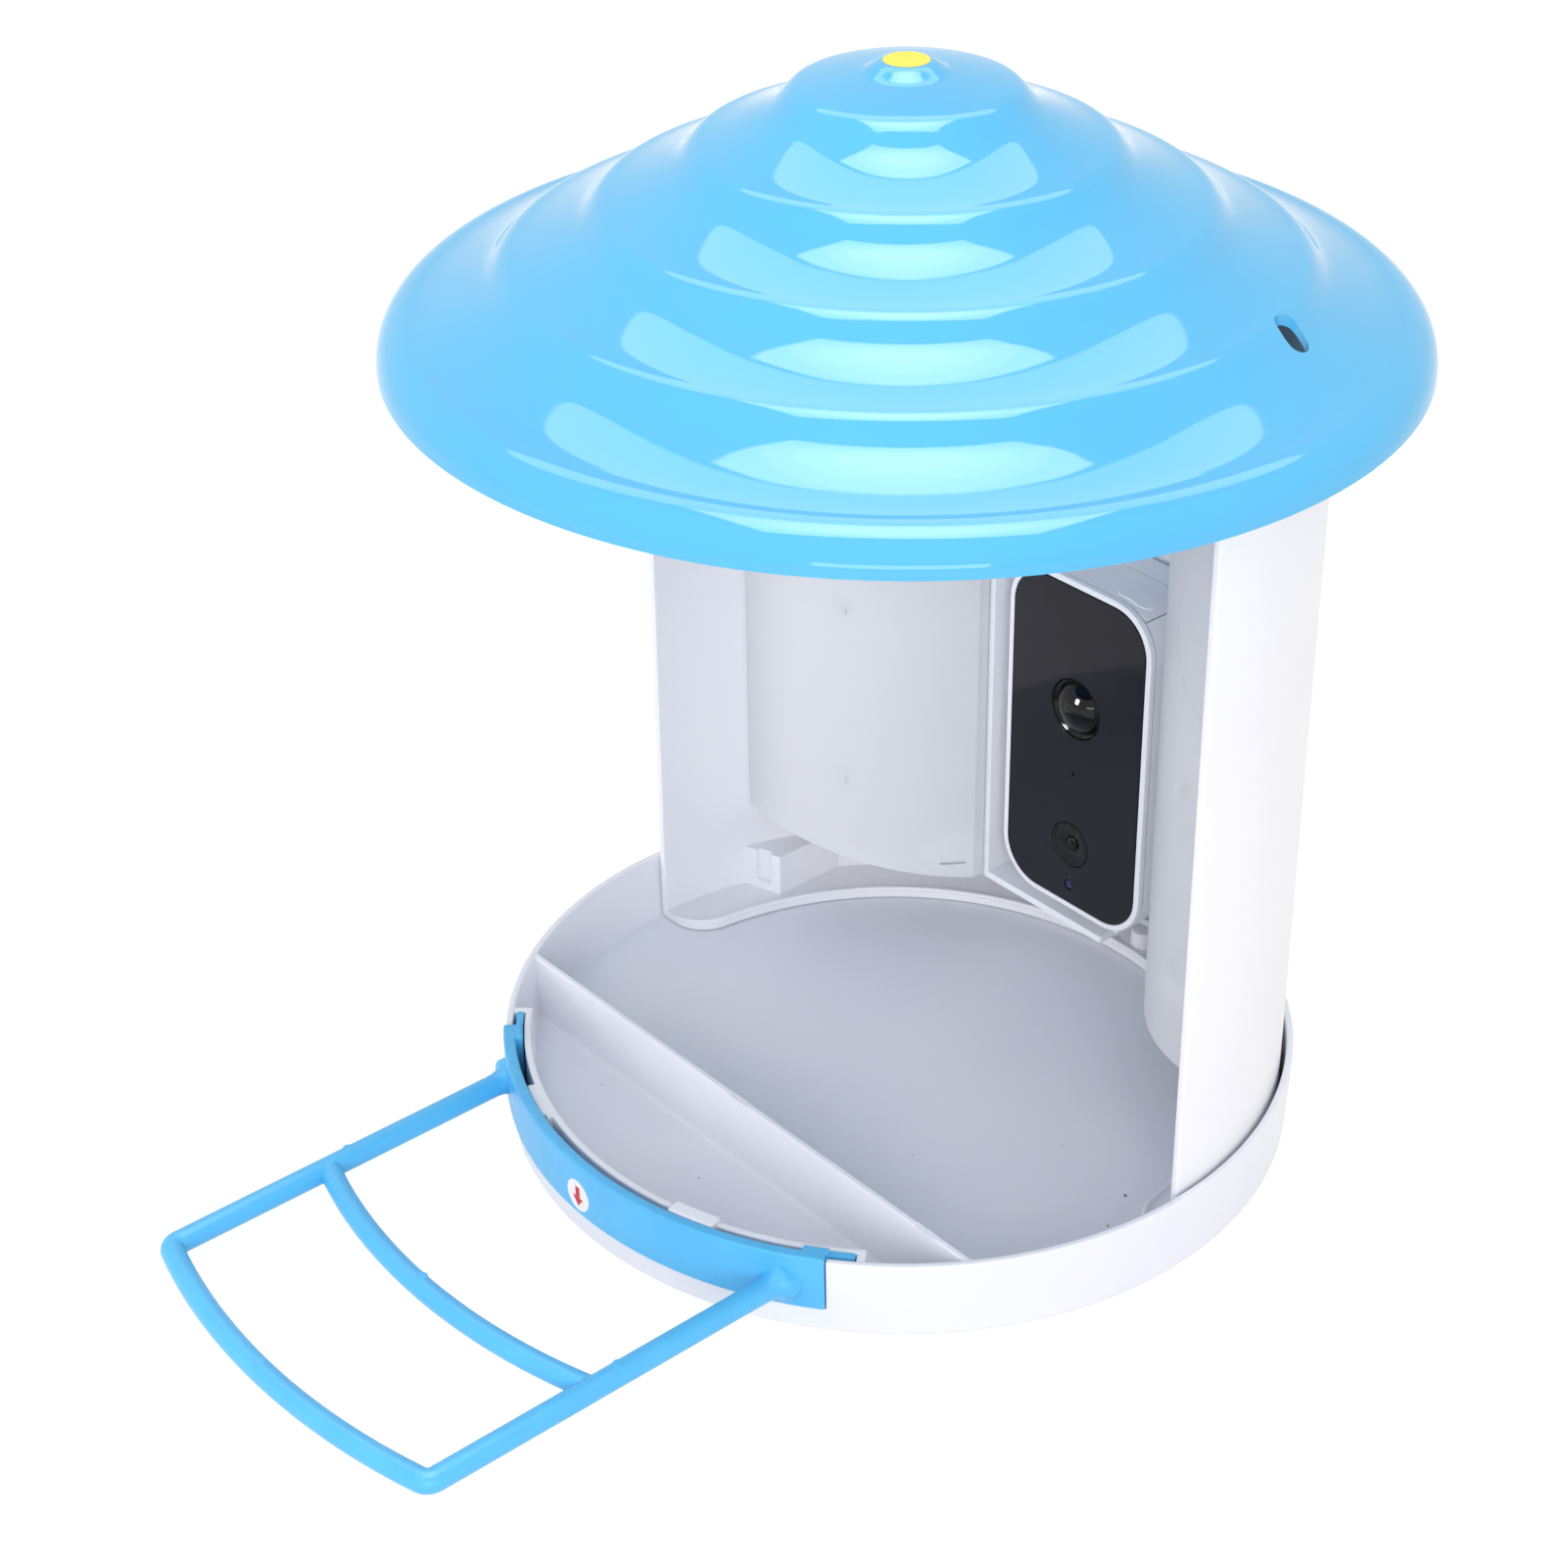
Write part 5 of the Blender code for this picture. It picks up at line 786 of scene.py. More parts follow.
def bowed_line(distance, bow):
    """A bar's middle line between the two rails, bowed towards the front."""
    half = RAIL_SPACING / 2
    radius = (half * half + bow * bow) / (2 * bow)
    spread = asin(half / radius)
    turns = [turn - spread for turn in fan(2 * spread, ARC)]
    return [(radius * sin(turn), -distance - radius * (cos(turn) - cos(spread)), RAIL_HEIGHT)
            for turn in turns]


def rail_start():
    """How far in front of the middle the rails begin, a little behind the plate's outer face."""
    return half_chord(PLATE_INNER_RADIUS, RAIL_SPACING / 2 + RAIL_RADIUS + RAIL_FLARE) - OVERRUN


def frame_line():
    """The middle line of the outer frame: down the left rail, along the outer bar and up the right rail."""
    half = RAIL_SPACING / 2
    bar = bowed_line(RAIL_REACH, OUTER_BOW)
    slope = atan2(bar[-2][1] - bar[-1][1], bar[-2][0] - bar[-1][0])
    corner = Vector((half, -RAIL_REACH, RAIL_HEIGHT))
    right = bend(corner + RAIL_CORNER * Vector((cos(slope), sin(slope), 0)), corner,
                 corner + RAIL_CORNER * Vector((0, 1, 0)), CORNER) + [(half, -rail_start(), RAIL_HEIGHT)]
    left = [(-across, along, height) for across, along, height in reversed(right)]
    return left + [point for point in bar if abs(point[0]) < half - 2 * RAIL_CORNER] + right


def plate_outline():
    """The curved plate seen from above, stepped in to a thin tongue at each end."""
    joggle = PLATE_HALF_ANGLE - TONGUE_OVERLAP / TRAY_RADIUS
    edges = ((PLATE_RADIUS, -PLATE_HALF_ANGLE, PLATE_HALF_ANGLE, 2 * ARC),
             (TONGUE_OUTER_RADIUS, PLATE_HALF_ANGLE, TONGUE_END_ANGLE, 6),
             (TONGUE_INNER_RADIUS, TONGUE_END_ANGLE, joggle, 10),
             (PLATE_INNER_RADIUS, joggle, -joggle, 2 * ARC),
             (TONGUE_INNER_RADIUS, -joggle, -TONGUE_END_ANGLE, 10),
             (TONGUE_OUTER_RADIUS, -TONGUE_END_ANGLE, -PLATE_HALF_ANGLE, 6))
    return [point for radius, first, last, flats in edges for point in arc(radius, FRONT + first, FRONT + last, flats)]


def flare_mesh(across):
    """A trumpet-shaped foot where a rail grows out of the plate."""
    root = half_chord(PLATE_RADIUS, abs(across)) - GAP
    profile = [(0, rail_start()), (RAIL_RADIUS + RAIL_FLARE, rail_start())]
    for share in fan(1, CORNER):
        dip = 1 - sqrt(1 - (1 - share) ** 2)
        profile.append((RAIL_RADIUS + 2 * WELD + RAIL_FLARE * dip, root + RAIL_FLARE_LENGTH * share))
    profile.append((0, root + RAIL_FLARE_LENGTH))
    return turned(profile, ROUND, (across, 0, RAIL_HEIGHT), FACING_FRONT)


def make_perch():
    plate = slab([rounded(plate_outline(), SOFT_EDGE)], PERCH_BOTTOM, PERCH_TOP, WIDE_EDGE)
    bars = join(rod(frame_line(), RAIL_RADIUS), rod(bowed_line(MIDDLE_BAR_DISTANCE, MIDDLE_BOW), MIDDLE_BAR_RADIUS),
                *[flare_mesh(side * RAIL_SPACING / 2) for side in SIDES])
    trim_radius = PLATE_INNER_RADIUS + PLATE_THICKNESS / 2
    bars = cut(bars, cylinder((0, 0, -RIM_HEIGHT), (0, 0, 2 * RIM_HEIGHT), trim_radius, FINE))
    low = RAIL_HEIGHT + RAIL_RADIUS - EJECTOR_DEPTH
    top = RAIL_HEIGHT + RAIL_RADIUS + EJECTOR_RISE
    mark = rectangle(0, low, EJECTOR_RADIUS, top)
    bars = join(bars, [lathed(mark, EJECTOR_EDGE, SMALL, (*place, 0)) for place in EJECTOR_MARKS])
    perch = join(plate, bars)
    trims = []
    for side in SIDES:
        ends = sorted((side * (PLATE_HALF_ANGLE + GAP / TRAY_RADIUS), side * (TONGUE_END_ANGLE + SLOT_RIB)))
        trims.append(front_slab(TONGUE_INNER_RADIUS - OVERRUN, TONGUE_OUTER_RADIUS + OVERRUN, *ends, 4, RIM_HEIGHT,
                                PERCH_TOP + OVERRUN))
    add_piece("perch_frame", cut(perch, trims), "perch", "perch", "perch", smooth=35)


# Half-round wall and its flange

def flange_corner(radius):
    """The right-hand rounded end of an edge of the flange, from its front face to its side."""
    corner = []
    for turn in fan(pi / 2, CORNER)[:-1]:
        reach = radius + FLANGE_END_ROUND * (1 - sin(turn))
        angle = FLANGE_END_ANGLE * (1 - cos(turn))
        corner.append((reach * cos(angle), reach * sin(angle)))
    return corner


def bead_edge(radius):
    """A line along the flange's inner edge and round its two ends."""
    right = flange_corner(radius)[1:]
    left = mirrored(reversed(right), -1)
    return right + arc(radius, FLANGE_END_ANGLE, pi - FLANGE_END_ANGLE, 2 * ARC) + left


def block_inner_x():
    """The X of a block's inner side: the block reaches from there to the wall."""
    return half_chord(WALL_INNER_RADIUS, BLOCK_FRONT_Y) - BLOCK_WIDTH + WALL_THICKNESS / 2


def block_outline(side):
    """A block seen from above: a slanted front, a straight inner side and a back inside the wall."""
    inner = block_inner_x()
    in_wall = WALL_INNER_RADIUS + WALL_THICKNESS / 2
    front_y = BLOCK_FRONT_Y - BLOCK_WIDTH * tan(BLOCK_SLANT)
    outline = [(inner, BLOCK_FRONT_Y)] + arc(in_wall, asin(front_y / in_wall), acos(inner / in_wall), 12)
    return mirrored(outline, side)


def hopper_screw_places():
    return [(side * TUBE_X, height) for side in SIDES for height in TUBE_HEIGHTS]


def pocket_screw_places():
    return [(0, height) for height in POCKET_SCREW_HEIGHTS]


def make_back_wall():
    middle = WALL_INNER_RADIUS + WALL_THICKNESS / 2
    band = arc(WALL_RADIUS, 0, pi, 3 * ARC) + arc(WALL_INNER_RADIUS, pi, 0, 3 * ARC)
    wall = slab([rounded(band, WIDE_EDGE)], WALL_BOTTOM, WALL_TOP, SOFT_EDGE)
    outside = WALL_RADIUS + OVERRUN
    wall = cut(wall, turned([(WALL_RADIUS - FLOOR_FILLET, WALL_BOTTOM - GAP), (outside, WALL_BOTTOM - GAP),
                             (outside, WALL_BOTTOM + FLOOR_FILLET + OVERRUN + GAP)]))

    end = FLANGE_INNER_RADIUS + FLANGE_END_ROUND
    flange = [(end, 0)] + bead_edge(FLANGE_INNER_RADIUS) + [(-end, 0), (-middle, 0)]
    flange += arc(middle, pi, 0, 2 * ARC)[1:]
    bead = bead_edge(FLANGE_INNER_RADIUS + BEAD_INSET)
    bead += bead_edge(FLANGE_INNER_RADIUS + BEAD_INSET + BEAD_WIDTH)[::-1]
    low = FLANGE_TOP - BEAD_HEIGHT
    block_top = FLANGE_TOP + BLOCK_HEIGHT
    post_top = FLANGE_TOP + POST_HEIGHT
    places = floor_screw_places()
    start = tube_end_y() + GAP
    rings = pegs(hopper_screw_places(), start, half_chord(middle, TUBE_X - STAND_OFF_RADIUS), STAND_OFF_RADIUS, ROUND)
    wall = join(
        wall, slab([flange], WALL_BOTTOM - WELD, FLANGE_TOP, HAIR_EDGE),
        slab([bead], low, FLANGE_TOP + BEAD_HEIGHT, EDGE),
        *[slab([rounded(block_outline(side), SOFT_EDGE)], low, block_top, EDGE) for side in SIDES],
        lathed(rectangle(0, low, POST_RADIUS, post_top), [0, 0, WIDE_EDGE, 0], ROUND, (*places[0], 0)),
        boolean("INTERSECT", to_mesh(held(*rings)), cylinder((0, 0, 0), (0, 0, WALL_RADIUS * 2), middle, ROUND * 4)))

    for side in SIDES:
        groove = block((-GROOVE_WIDTH / 2, -OVERRUN, -GROOVE_HEIGHT), (GROOVE_WIDTH / 2, GROOVE_DEPTH, OVERRUN),
                       HAIR_EDGE)
        inset = BLOCK_WIDTH * GROOVE_SHARE
        place = (side * (block_inner_x() + inset), BLOCK_FRONT_Y - inset * tan(BLOCK_SLANT), block_top)
        wall = cut(wall, moved(groove, place, Matrix.Rotation(-side * BLOCK_SLANT, 4, "Z")))
    wall = cut(wall, [
        *wells(hopper_screw_places(), outside, start + STAND_OFF_WEB, start - OVERRUN, SCREW_HEAD_HOLE, SCREW_HOLE),
        *pegs(pocket_screw_places(), WALL_INNER_RADIUS - OVERRUN, outside, SCREW_HOLE),
        *[cylinder((*place, WALL_BOTTOM - OVERRUN), (*place, WALL_BOTTOM + FLOOR_SCREW_BITE + GAP), SCREW_HOLE)
          for place in places]])
    add_piece("back_wall", wall, "white", "base", "body_wall", smooth=32)


def screw_mesh(head, head_height, shank, bite, countersunk=False):
    """A screw along Z with its seat at height 0, the head above it and a cross recess."""
    if countersunk:
        mesh = turned([(0, bite), (shank, bite), (shank, head_height), (head, 0), (0, 0)], SMALL)
        low, high = -OVERRUN, head_height * SUNK_RECESS_SHARE
    else:
        mesh = lathed([(0, head_height), (head, head_height), (head, 0), (shank, 0), (shank, -bite), (0, -bite)],
                      [0, head_height / 2, 0, 0, 0, 0], SMALL, flats=5)
        low, high = head_height * RECESS_FLOOR_SHARE, head_height + OVERRUN
    bar = head * RECESS_LENGTH_SHARE
    width = head * RECESS_WIDTH_SHARE
    return cut(mesh, block((-bar, -width, low), (bar, width, high)),
               block((-width, -bar, low - WELD), (width, bar, high + WELD)))


def back_screw(*sizes):
    """A screw that goes in from the back, its seat a gap behind Y 0."""
    return moved(moved(screw_mesh(*sizes), (0, 0, GAP)), turn=FACING_BACK)


def make_screws():
    """The screws in the tray's underside and in the back, with cross recesses."""
    screw = screw_mesh(SCREW_HEAD, FLOOR_SCREW_HEAD_HEIGHT, SCREW_SHANK, FLOOR + FLOOR_SCREW_BITE, True)
    for number, place in enumerate(floor_screw_places(), 1):
        add_piece(f"floor_screw_{number}", moved(screw.copy(), (*place, GAP)), "steel", "base", f"tray_screw_{number}")
    screw = back_screw(SCREW_HEAD, SCREW_HEAD_HEIGHT, SCREW_SHANK, SCREW_BITE)
    web_y = tube_end_y() + GAP + STAND_OFF_WEB
    levels = ("lower", "upper")
    rows = [(f"hopper_screw_{hand}", side * TUBE_X, web_y, TUBE_HEIGHTS) for hand, side in HANDS]
    for row, across, along, heights in [*rows, ("pocket_screw", 0, WALL_RADIUS, POCKET_SCREW_HEIGHTS)]:
        for level, height in zip(levels, heights):
            name = f"{row}_{level}"
            add_piece(name + "_fine", moved(screw.copy(), (across, along, height)), "steel", "base", name)


# Hopper bins

def bin_floor_height(across):
    """The height of the bin floor's top, which falls towards the camera pocket."""
    return SHELF_TOP + BIN_FLOOR_SLOPE * (abs(across) - POCKET_HALF_WIDTH)


def bulge_y(across, radius):
    """Where the bulging window lies at a distance across."""
    return BIN_CENTRE_Y - half_chord(radius, BIN_CENTRE_X - across)


def tube_end_y():
    """Where a bin's screw tubes end, at the wall's stand-offs."""
    return bulge_y(TUBE_X, BIN_BULGE_RADIUS) + TUBE_LENGTH


def bin_outline(radius, wall_radius, pocket_x):
    """The bin seen from above on the right side: window arc, back along the wall, in beside the pocket."""
    away = hypot(BIN_CENTRE_X, BIN_CENTRE_Y)
    corner = acos((away * away + radius * radius - wall_radius * wall_radius) / (2 * away * radius))
    last = atan2(-BIN_CENTRE_Y, -BIN_CENTRE_X) + corner
    first = -pi + asin((BIN_CENTRE_Y - bulge_y(pocket_x, radius)) / radius)
    window = arc(radius, first, last, ARC, (BIN_CENTRE_X, BIN_CENTRE_Y))
    start = atan2(window[-1][1], window[-1][0])
    return window + arc(wall_radius, start, acos(pocket_x / wall_radius), ARC)[1:]


def sloped_prism(outline, side, drop, top):
    """An upright solid whose bottom follows the bin floor's slope, at a drop under its top face."""
    mesh = slab([mirrored(outline, side)], 0, top)
    for vertex in mesh.vertices:
        if vertex.co.z < top / 2:
            vertex.co.z = bin_floor_height(vertex.co.x) - drop
    return mesh


def ring_mark(side):
    """A faint moulded circle that stands a little proud on the window."""
    across, height = RING_MARK_PLACE
    near = bulge_y(across, BIN_BULGE_RADIUS)
    rings = [circle(radius, FINE, (side * across, height))
             for radius in (RING_MARK_RADIUS, RING_MARK_RADIUS - RING_MARK_WIDTH)]
    ring = standing(rings, near - RING_MARK_REACH, near + RING_MARK_REACH)
    first, last = RING_MARK_ANGLES
    centre = (BIN_CENTRE_X, BIN_CENTRE_Y)
    band = arc(BIN_BULGE_RADIUS + RING_MARK_RISE, first, last, 2 * ARC, centre)
    band += arc(BIN_BULGE_RADIUS - RING_MARK_SINK, last, first, 2 * ARC, centre)
    skin = slab([mirrored(band, side)], height - 2 * RING_MARK_RADIUS, height + 2 * RING_MARK_RADIUS)
    return boolean("INTERSECT", ring, skin)


def make_bin(hand, side):
    outline = rounded(bin_outline(BIN_BULGE_RADIUS, BIN_WALL_RADIUS, BIN_POCKET_X), BIN_EDGE)
    inner_radius = BIN_BULGE_RADIUS - BIN_SKIN
    hollow = bin_outline(inner_radius, WALL_RADIUS + OVERRUN, POCKET_HALF_WIDTH - OVERRUN)
    shell = cut(sloped_prism(outline, side, BIN_FLOOR, BIN_TOP), sloped_prism(hollow, side, 0, BIN_TOP + OVERRUN))
    skin_y = bulge_y(TUBE_X, inner_radius + BIN_SKIN / 2)
    tube_end = tube_end_y()
    places = [(side * TUBE_X, height) for height in TUBE_HEIGHTS]
    bore_y = max(skin_y + BIN_SKIN, tube_end - SCREW_BITE)
    shell = join(shell, pegs(places, skin_y, tube_end, TUBE_RADIUS))
    shell = cut(shell, pegs(places, bore_y, tube_end + OVERRUN, SCREW_HOLE))

    left = BIN_POCKET_X + PORT_INSET
    front = bulge_y(left + PORT_WIDTH / 2, inner_radius) + PORT_INSET
    low, high = sorted((side * left, side * (left + PORT_WIDTH)))
    port = slab([rounded(rectangle(low, front, high, front + PORT_LENGTH), PORT_CORNER)], 0, 2 * SHELF_TOP)
    inside = bin_outline(inner_radius - GAP, BIN_WALL_RADIUS - BIN_SKIN, BIN_POCKET_X + BIN_SKIN)
    port = boolean("INTERSECT", port, slab([mirrored(inside, side)], 0, 2 * SHELF_TOP))
    slot_x = BIN_POCKET_X + FOOT_SLOT_INSET
    slot_y = bulge_y(slot_x, BIN_BULGE_RADIUS)
    slot_z = bin_floor_height(slot_x) + FOOT_SLOT_RISE + FOOT_SLOT_HEIGHT / 2
    tangent = atan2(BIN_CENTRE_X - slot_x, BIN_CENTRE_Y - slot_y)
    slot = block((-FOOT_SLOT_WIDTH / 2, -BIN_SKIN - OVERRUN, 0),
                 (FOOT_SLOT_WIDTH / 2, BIN_SKIN + OVERRUN, FOOT_SLOT_OPENING))
    slot = moved(slot, (side * slot_x, slot_y, slot_z), Matrix.Rotation(-side * tangent, 4, "Z"))
    add_piece(f"bin_{hand}", cut(shell, port, slot), "milky", "base", f"hopper_{hand}", smooth=32)
    add_piece(f"bin_mark_{hand}", ring_mark(side), "milky", "base")


# Camera pocket

def make_pocket():
    inner = POCKET_HALF_WIDTH
    outer = POCKET_OUTER_X
    front = POCKET_FRONT_Y
    bottom = SHELF_TOP - SHELF_THICKNESS
    channel = [(-outer, front), (-inner, front), (-inner, POCKET_BACK_Y), (inner, POCKET_BACK_Y), (inner, front),
               (outer, front), (outer, POCKET_CORNER_Y), (-outer, POCKET_CORNER_Y)]
    channel = rounded(channel, [EDGE, EDGE, POCKET_CORNER, POCKET_CORNER, EDGE, EDGE, BROAD_EDGE, BROAD_EDGE])
    middle = POCKET_HALF_WIDTH + POCKET_WALL / 2
    in_back = POCKET_BACK_Y + POCKET_WALL / 2
    notch = front + NOTCH_DEPTH
    shelf = [(-middle, front + WELD), (NOTCH_LEFT, front + WELD), (NOTCH_LEFT, notch), (middle, notch),
             (middle, in_back), (-middle, in_back)]
    shelf = slab([rounded(shelf, [0, BROAD_EDGE, BROAD_EDGE, 0, 0, 0])], bottom + WELD, SHELF_TOP, HAIR_EDGE)
    pocket = join(slab([channel], bottom, BIN_TOP, THIN_EDGE), shelf)
    foot = SHELF_TOP - SHELF_THICKNESS / 2
    start = front + BEARER_SETBACK
    for side in SIDES:
        low, high = sorted((side * (CASE_WIDTH / 2 + GAP), side * middle))
        ribs = [block((low, front + setback, foot), (high, front + setback + GUIDE_RIB, GUIDE_RIB_TOP), THIN_EDGE)
                for setback in GUIDE_RIB_SETBACKS]
        bearer = side * BEARER_SPACING / 2
        pocket = join(pocket, *ribs, block((bearer - GUIDE_RIB / 2, start, foot),
                                           (bearer + GUIDE_RIB / 2, start + BEARER_LENGTH, SHELF_TOP + BEARER_RISE),
                                           THIN_EDGE))
    wall_y = half_chord(WALL_INNER_RADIUS, POCKET_BOSS_RADIUS) - GAP
    pocket = join(pocket, pegs(pocket_screw_places(), in_back, wall_y, POCKET_BOSS_RADIUS))
    pocket = cut(pocket, pegs(pocket_screw_places(), WALL_RADIUS - SCREW_BITE - GAP, wall_y + OVERRUN, SCREW_HOLE))
    add_piece("pocket", pocket, "white", "base", "camera_pocket", smooth=32)


# Roof

def ease(share):
    share = min(max(share, 0), 1)
    return share * share * (3 - 2 * share)


def step_slopes():
    """The slope of the step outline at each of its points, evened out across the crest."""
    slopes = [(low - high) / (end - start) for (start, high), (end, low) in zip(STEP_SHARES, STEP_SHARES[1:])]
    slopes = [(first + second) / 2 for first, second in zip(slopes, slopes[1:])]
    first, last = STEP_SHARES[1], STEP_SHARES[-2]
    crest = (first[1] / first[0] + (1 - last[1]) / (1 - last[0])) / 2
    return [crest, *slopes, crest]


SLOPES = step_slopes()


def step_fall(share):
    """How far a step has fallen at a share of its width, from 0 at its crest to 1 at the next, without a kink."""
    for index, ((start, high), (end, low)) in enumerate(zip(STEP_SHARES, STEP_SHARES[1:])):
        if share <= end:
            break
    width = end - start
    part = (share - start) / width
    rest = 1 - part
    return (high * rest * rest * (1 + 2 * part) + low * part * part * (3 - 2 * part)
            + width * part * rest * (SLOPES[index] * rest - SLOPES[index + 1] * part))


def roof_height(radius):
    """The height of the roof's outer face above its rim."""
    height = ROOF_RISE - KNOB_DROP * ease((radius - KNOB_RADIUS) / KNOB_EDGE)
    if radius <= CAP_RADIUS:
        return height - (CAP_DROP - KNOB_DROP) * (radius / CAP_RADIUS) ** 2
    steps = (radius - CAP_RADIUS) / STEP_PITCH
    whole = min(int(steps), STEP_COUNT - 1)
    return ROOF_RISE - CAP_DROP - STEP_FALL * (whole + step_fall(min(steps - whole, 1)))


def make_roof():
    """A fine turned shell with the frame's own stepped outline, its rim lip and its hanging holes."""
    brim_start = ROOF_RADIUS - BRIM_WIDTH
    outer = [(radius, min(roof_height(radius), ROOF_RISE - STICKER_SEAT)) for radius in fan(brim_start, ROOF_POINTS)]
    brim = [(brim_start + BRIM_WIDTH * sin(turn), BRIM_DROP * cos(turn))
            for turn in fan(pi / 2, BRIM_POINTS)[1:]]
    under = rounded([brim[-1], (ROOF_RADIUS - ROOF_SKIN, 0), (brim_start, BRIM_DROP - ROOF_SKIN)], WIDE_EDGE,
                    closed=False)[1:-1]
    inner = [(radius, height - ROOF_SKIN) for radius, height in outer[::2] if radius < brim_start - GAP]
    seat = WALL_TOP + GAP - ROOF_BASE
    skirt_inner = WALL_RADIUS + GAP
    skirt_outer = skirt_inner + SKIRT_THICKNESS
    seat_inner = skirt_inner - SEAT_WIDTH
    skirt_low = WALL_TOP - SKIRT_DEPTH - ROOF_BASE
    ring = [(skirt_outer, roof_height(skirt_outer) - ROOF_SKIN), (skirt_outer, skirt_low), (skirt_inner, skirt_low),
            (skirt_inner, seat), (seat_inner, seat), (seat_inner, roof_height(seat_inner) - ROOF_SKIN)]
    ring = rounded(ring, THIN_EDGE, closed=False)
    outside = [point for point in inner if point[0] > skirt_outer + GAP]
    inside = [point for point in inner if point[0] < seat_inner - GAP]
    roof = turned(outer + brim + under + outside[::-1] + ring + inside[::-1], FINE, (0, 0, ROOF_BASE))
    holes = []
    for angle in (HANG_HOLE_ANGLE, pi - HANG_HOLE_ANGLE):
        place = Vector((HANG_HOLE_RADIUS * cos(angle), HANG_HOLE_RADIUS * sin(angle), ROOF_BASE))
        holes.append(cylinder(place, place + Vector((0, 0, ROOF_RISE)), HANG_HOLE_SIZE, ROUND))
    made = add_piece("roof_shell", cut(roof, holes), "roof", "roof", "roof", smooth=38)
    made.modifiers.remove(made.modifiers["normals"])


# Camera. Local frame: the middle of the face, +Y into the camera.

def add_camera_piece(name, mesh, look, *replaced, body="camera", smooth=32):
    return add_piece(name, moved(mesh, (0, FACE_Y, FACE_CENTRE_Z)), look, body, *replaced, smooth=smooth)


def add_round_piece(name, profile, steps, height, look, node, smooth):
    """A camera piece turned about a line through the face."""
    add_camera_piece(name, turned(profile, steps, (0, 0, height), FACING_FRONT), look, node, smooth=smooth)


def case_outline(inset):
    """The camera case's front view, inset from its edge."""
    return rounded_rectangle(CASE_WIDTH - 2 * inset, CASE_HEIGHT - 2 * inset, CASE_CORNER - inset)


def face_outline(grow):
    """The black face's front view, grown by a margin."""
    return rounded_rectangle(FACE_WIDTH + 2 * grow, FACE_HEIGHT + 2 * grow, FACE_CORNER + grow)


def case_screw_places():
    return [(side * CASE_SCREW_X, level * CASE_SCREW_RISE) for side in SIDES for level in SIDES]


def make_front_frame():
    ring = standing([case_outline(0), face_outline(-FRAME_LEDGE)], FRAME_RISE, FRAME_BACK, THIN_EDGE)
    ring = cut(ring, standing([face_outline(GAP)], -OVERRUN, FACE_THICKNESS + GAP))
    end = CAMERA_DEPTH - CASE_WALL - CASE_WEB - CASE_SCREW_HEAD_HEIGHT - GAP
    start = FRAME_BACK - FRAME_RISE
    places = case_screw_places()
    ring = join(ring, pegs(places, start, BOARD_SETBACK - GAP, CASE_SHOULDER_RADIUS),
                pegs(places, start + WELD, end, CASE_BOSS_RADIUS))
    ring = cut(ring, pegs(places, end - CASE_SCREW_BITE, end + OVERRUN, CASE_SCREW_SHANK + GAP))
    add_camera_piece("front_frame", ring, "white", "camera_front_frame")


def make_face():
    holes = ((DOME_RING_RADIUS + GAP, FINE // 2, DOME_RISE), (LENS_RING_RADIUS + GAP, FINE // 2, -LENS_DROP),
             (LIGHT_RADIUS + GAP, ROUND, -LIGHT_DROP), (MICROPHONE_RADIUS, SMALL, -MICROPHONE_DROP))
    outlines = [face_outline(0), *[circle(radius, flats, (0, height)) for radius, flats, height in holes]]
    plate = standing(outlines, 0, FACE_THICKNESS, FACE_EDGE)
    add_camera_piece("face_plate", plate, "face", "camera_face_plate")

    back = -FACE_THICKNESS - GAP
    curve_radius = (DOME_RADIUS ** 2 + DOME_HEIGHT ** 2) / (2 * DOME_HEIGHT)
    spread = asin(DOME_RADIUS / curve_radius)
    cap = [(curve_radius * sin(turn), DOME_HEIGHT - DOME_SINK - curve_radius * (1 - cos(turn)))
           for turn in fan(spread, 2 * CORNER)]
    ring = rounded([cap[-1], (DOME_RING_RADIUS, 0), (DOME_RING_RADIUS, back)], THIN_EDGE, closed=False)[1:]
    hole = SENSOR_RADIUS + GAP
    flange = back - DOME_FLANGE
    profile = cap + ring + [(DOME_FLANGE_RADIUS, back), (DOME_FLANGE_RADIUS, flange), (hole, flange), (hole, back),
                            (0, back)]
    add_round_piece("dome", profile, FINE // 2, DOME_RISE, "glass", "sensor_dome", 20)

    foot = -LENS_CONE_DEPTH
    hole = LENS_GLASS_RADIUS + GAP
    profile = [(hole, foot)]
    for share in fan(1, LENS_STEPS + 1)[1:-1]:
        radius = hole + (LENS_CONE_RADIUS - hole) * share
        profile += [(radius - LENS_EDGE, foot * (1 - share)), (radius, foot * (1 - share) + LENS_STEP_RISE)]
    profile += rounded([(LENS_CONE_RADIUS, -LENS_LIP), (LENS_CONE_RADIUS + LENS_EDGE, 0), (LENS_RING_RADIUS, 0),
                        (LENS_RING_RADIUS, back)], LENS_EDGE, closed=False) + [(hole, back)]
    add_round_piece("lens_rings", profile, FINE // 2, -LENS_DROP, "matt", "lens_ring", 15)
    bulge = [(LENS_GLASS_RADIUS * sin(turn), foot + LENS_GLASS_BULGE * cos(turn))
             for turn in fan(pi / 2, CORNER)]
    profile = bulge + [(LENS_GLASS_RADIUS, back), (0, back)]
    add_round_piece("lens_front", profile, ROUND, -LENS_DROP, "glass", "lens_glass", 32)
    end = GAP - BOARD_SETBACK
    profile = rounded(rectangle(0, -GAP, LIGHT_RADIUS, end), [0, HAIR_EDGE, 0, 0], closed=False)
    add_round_piece("light_pipe", profile, SMALL, -LIGHT_DROP, "led", "status_light_window", 32)


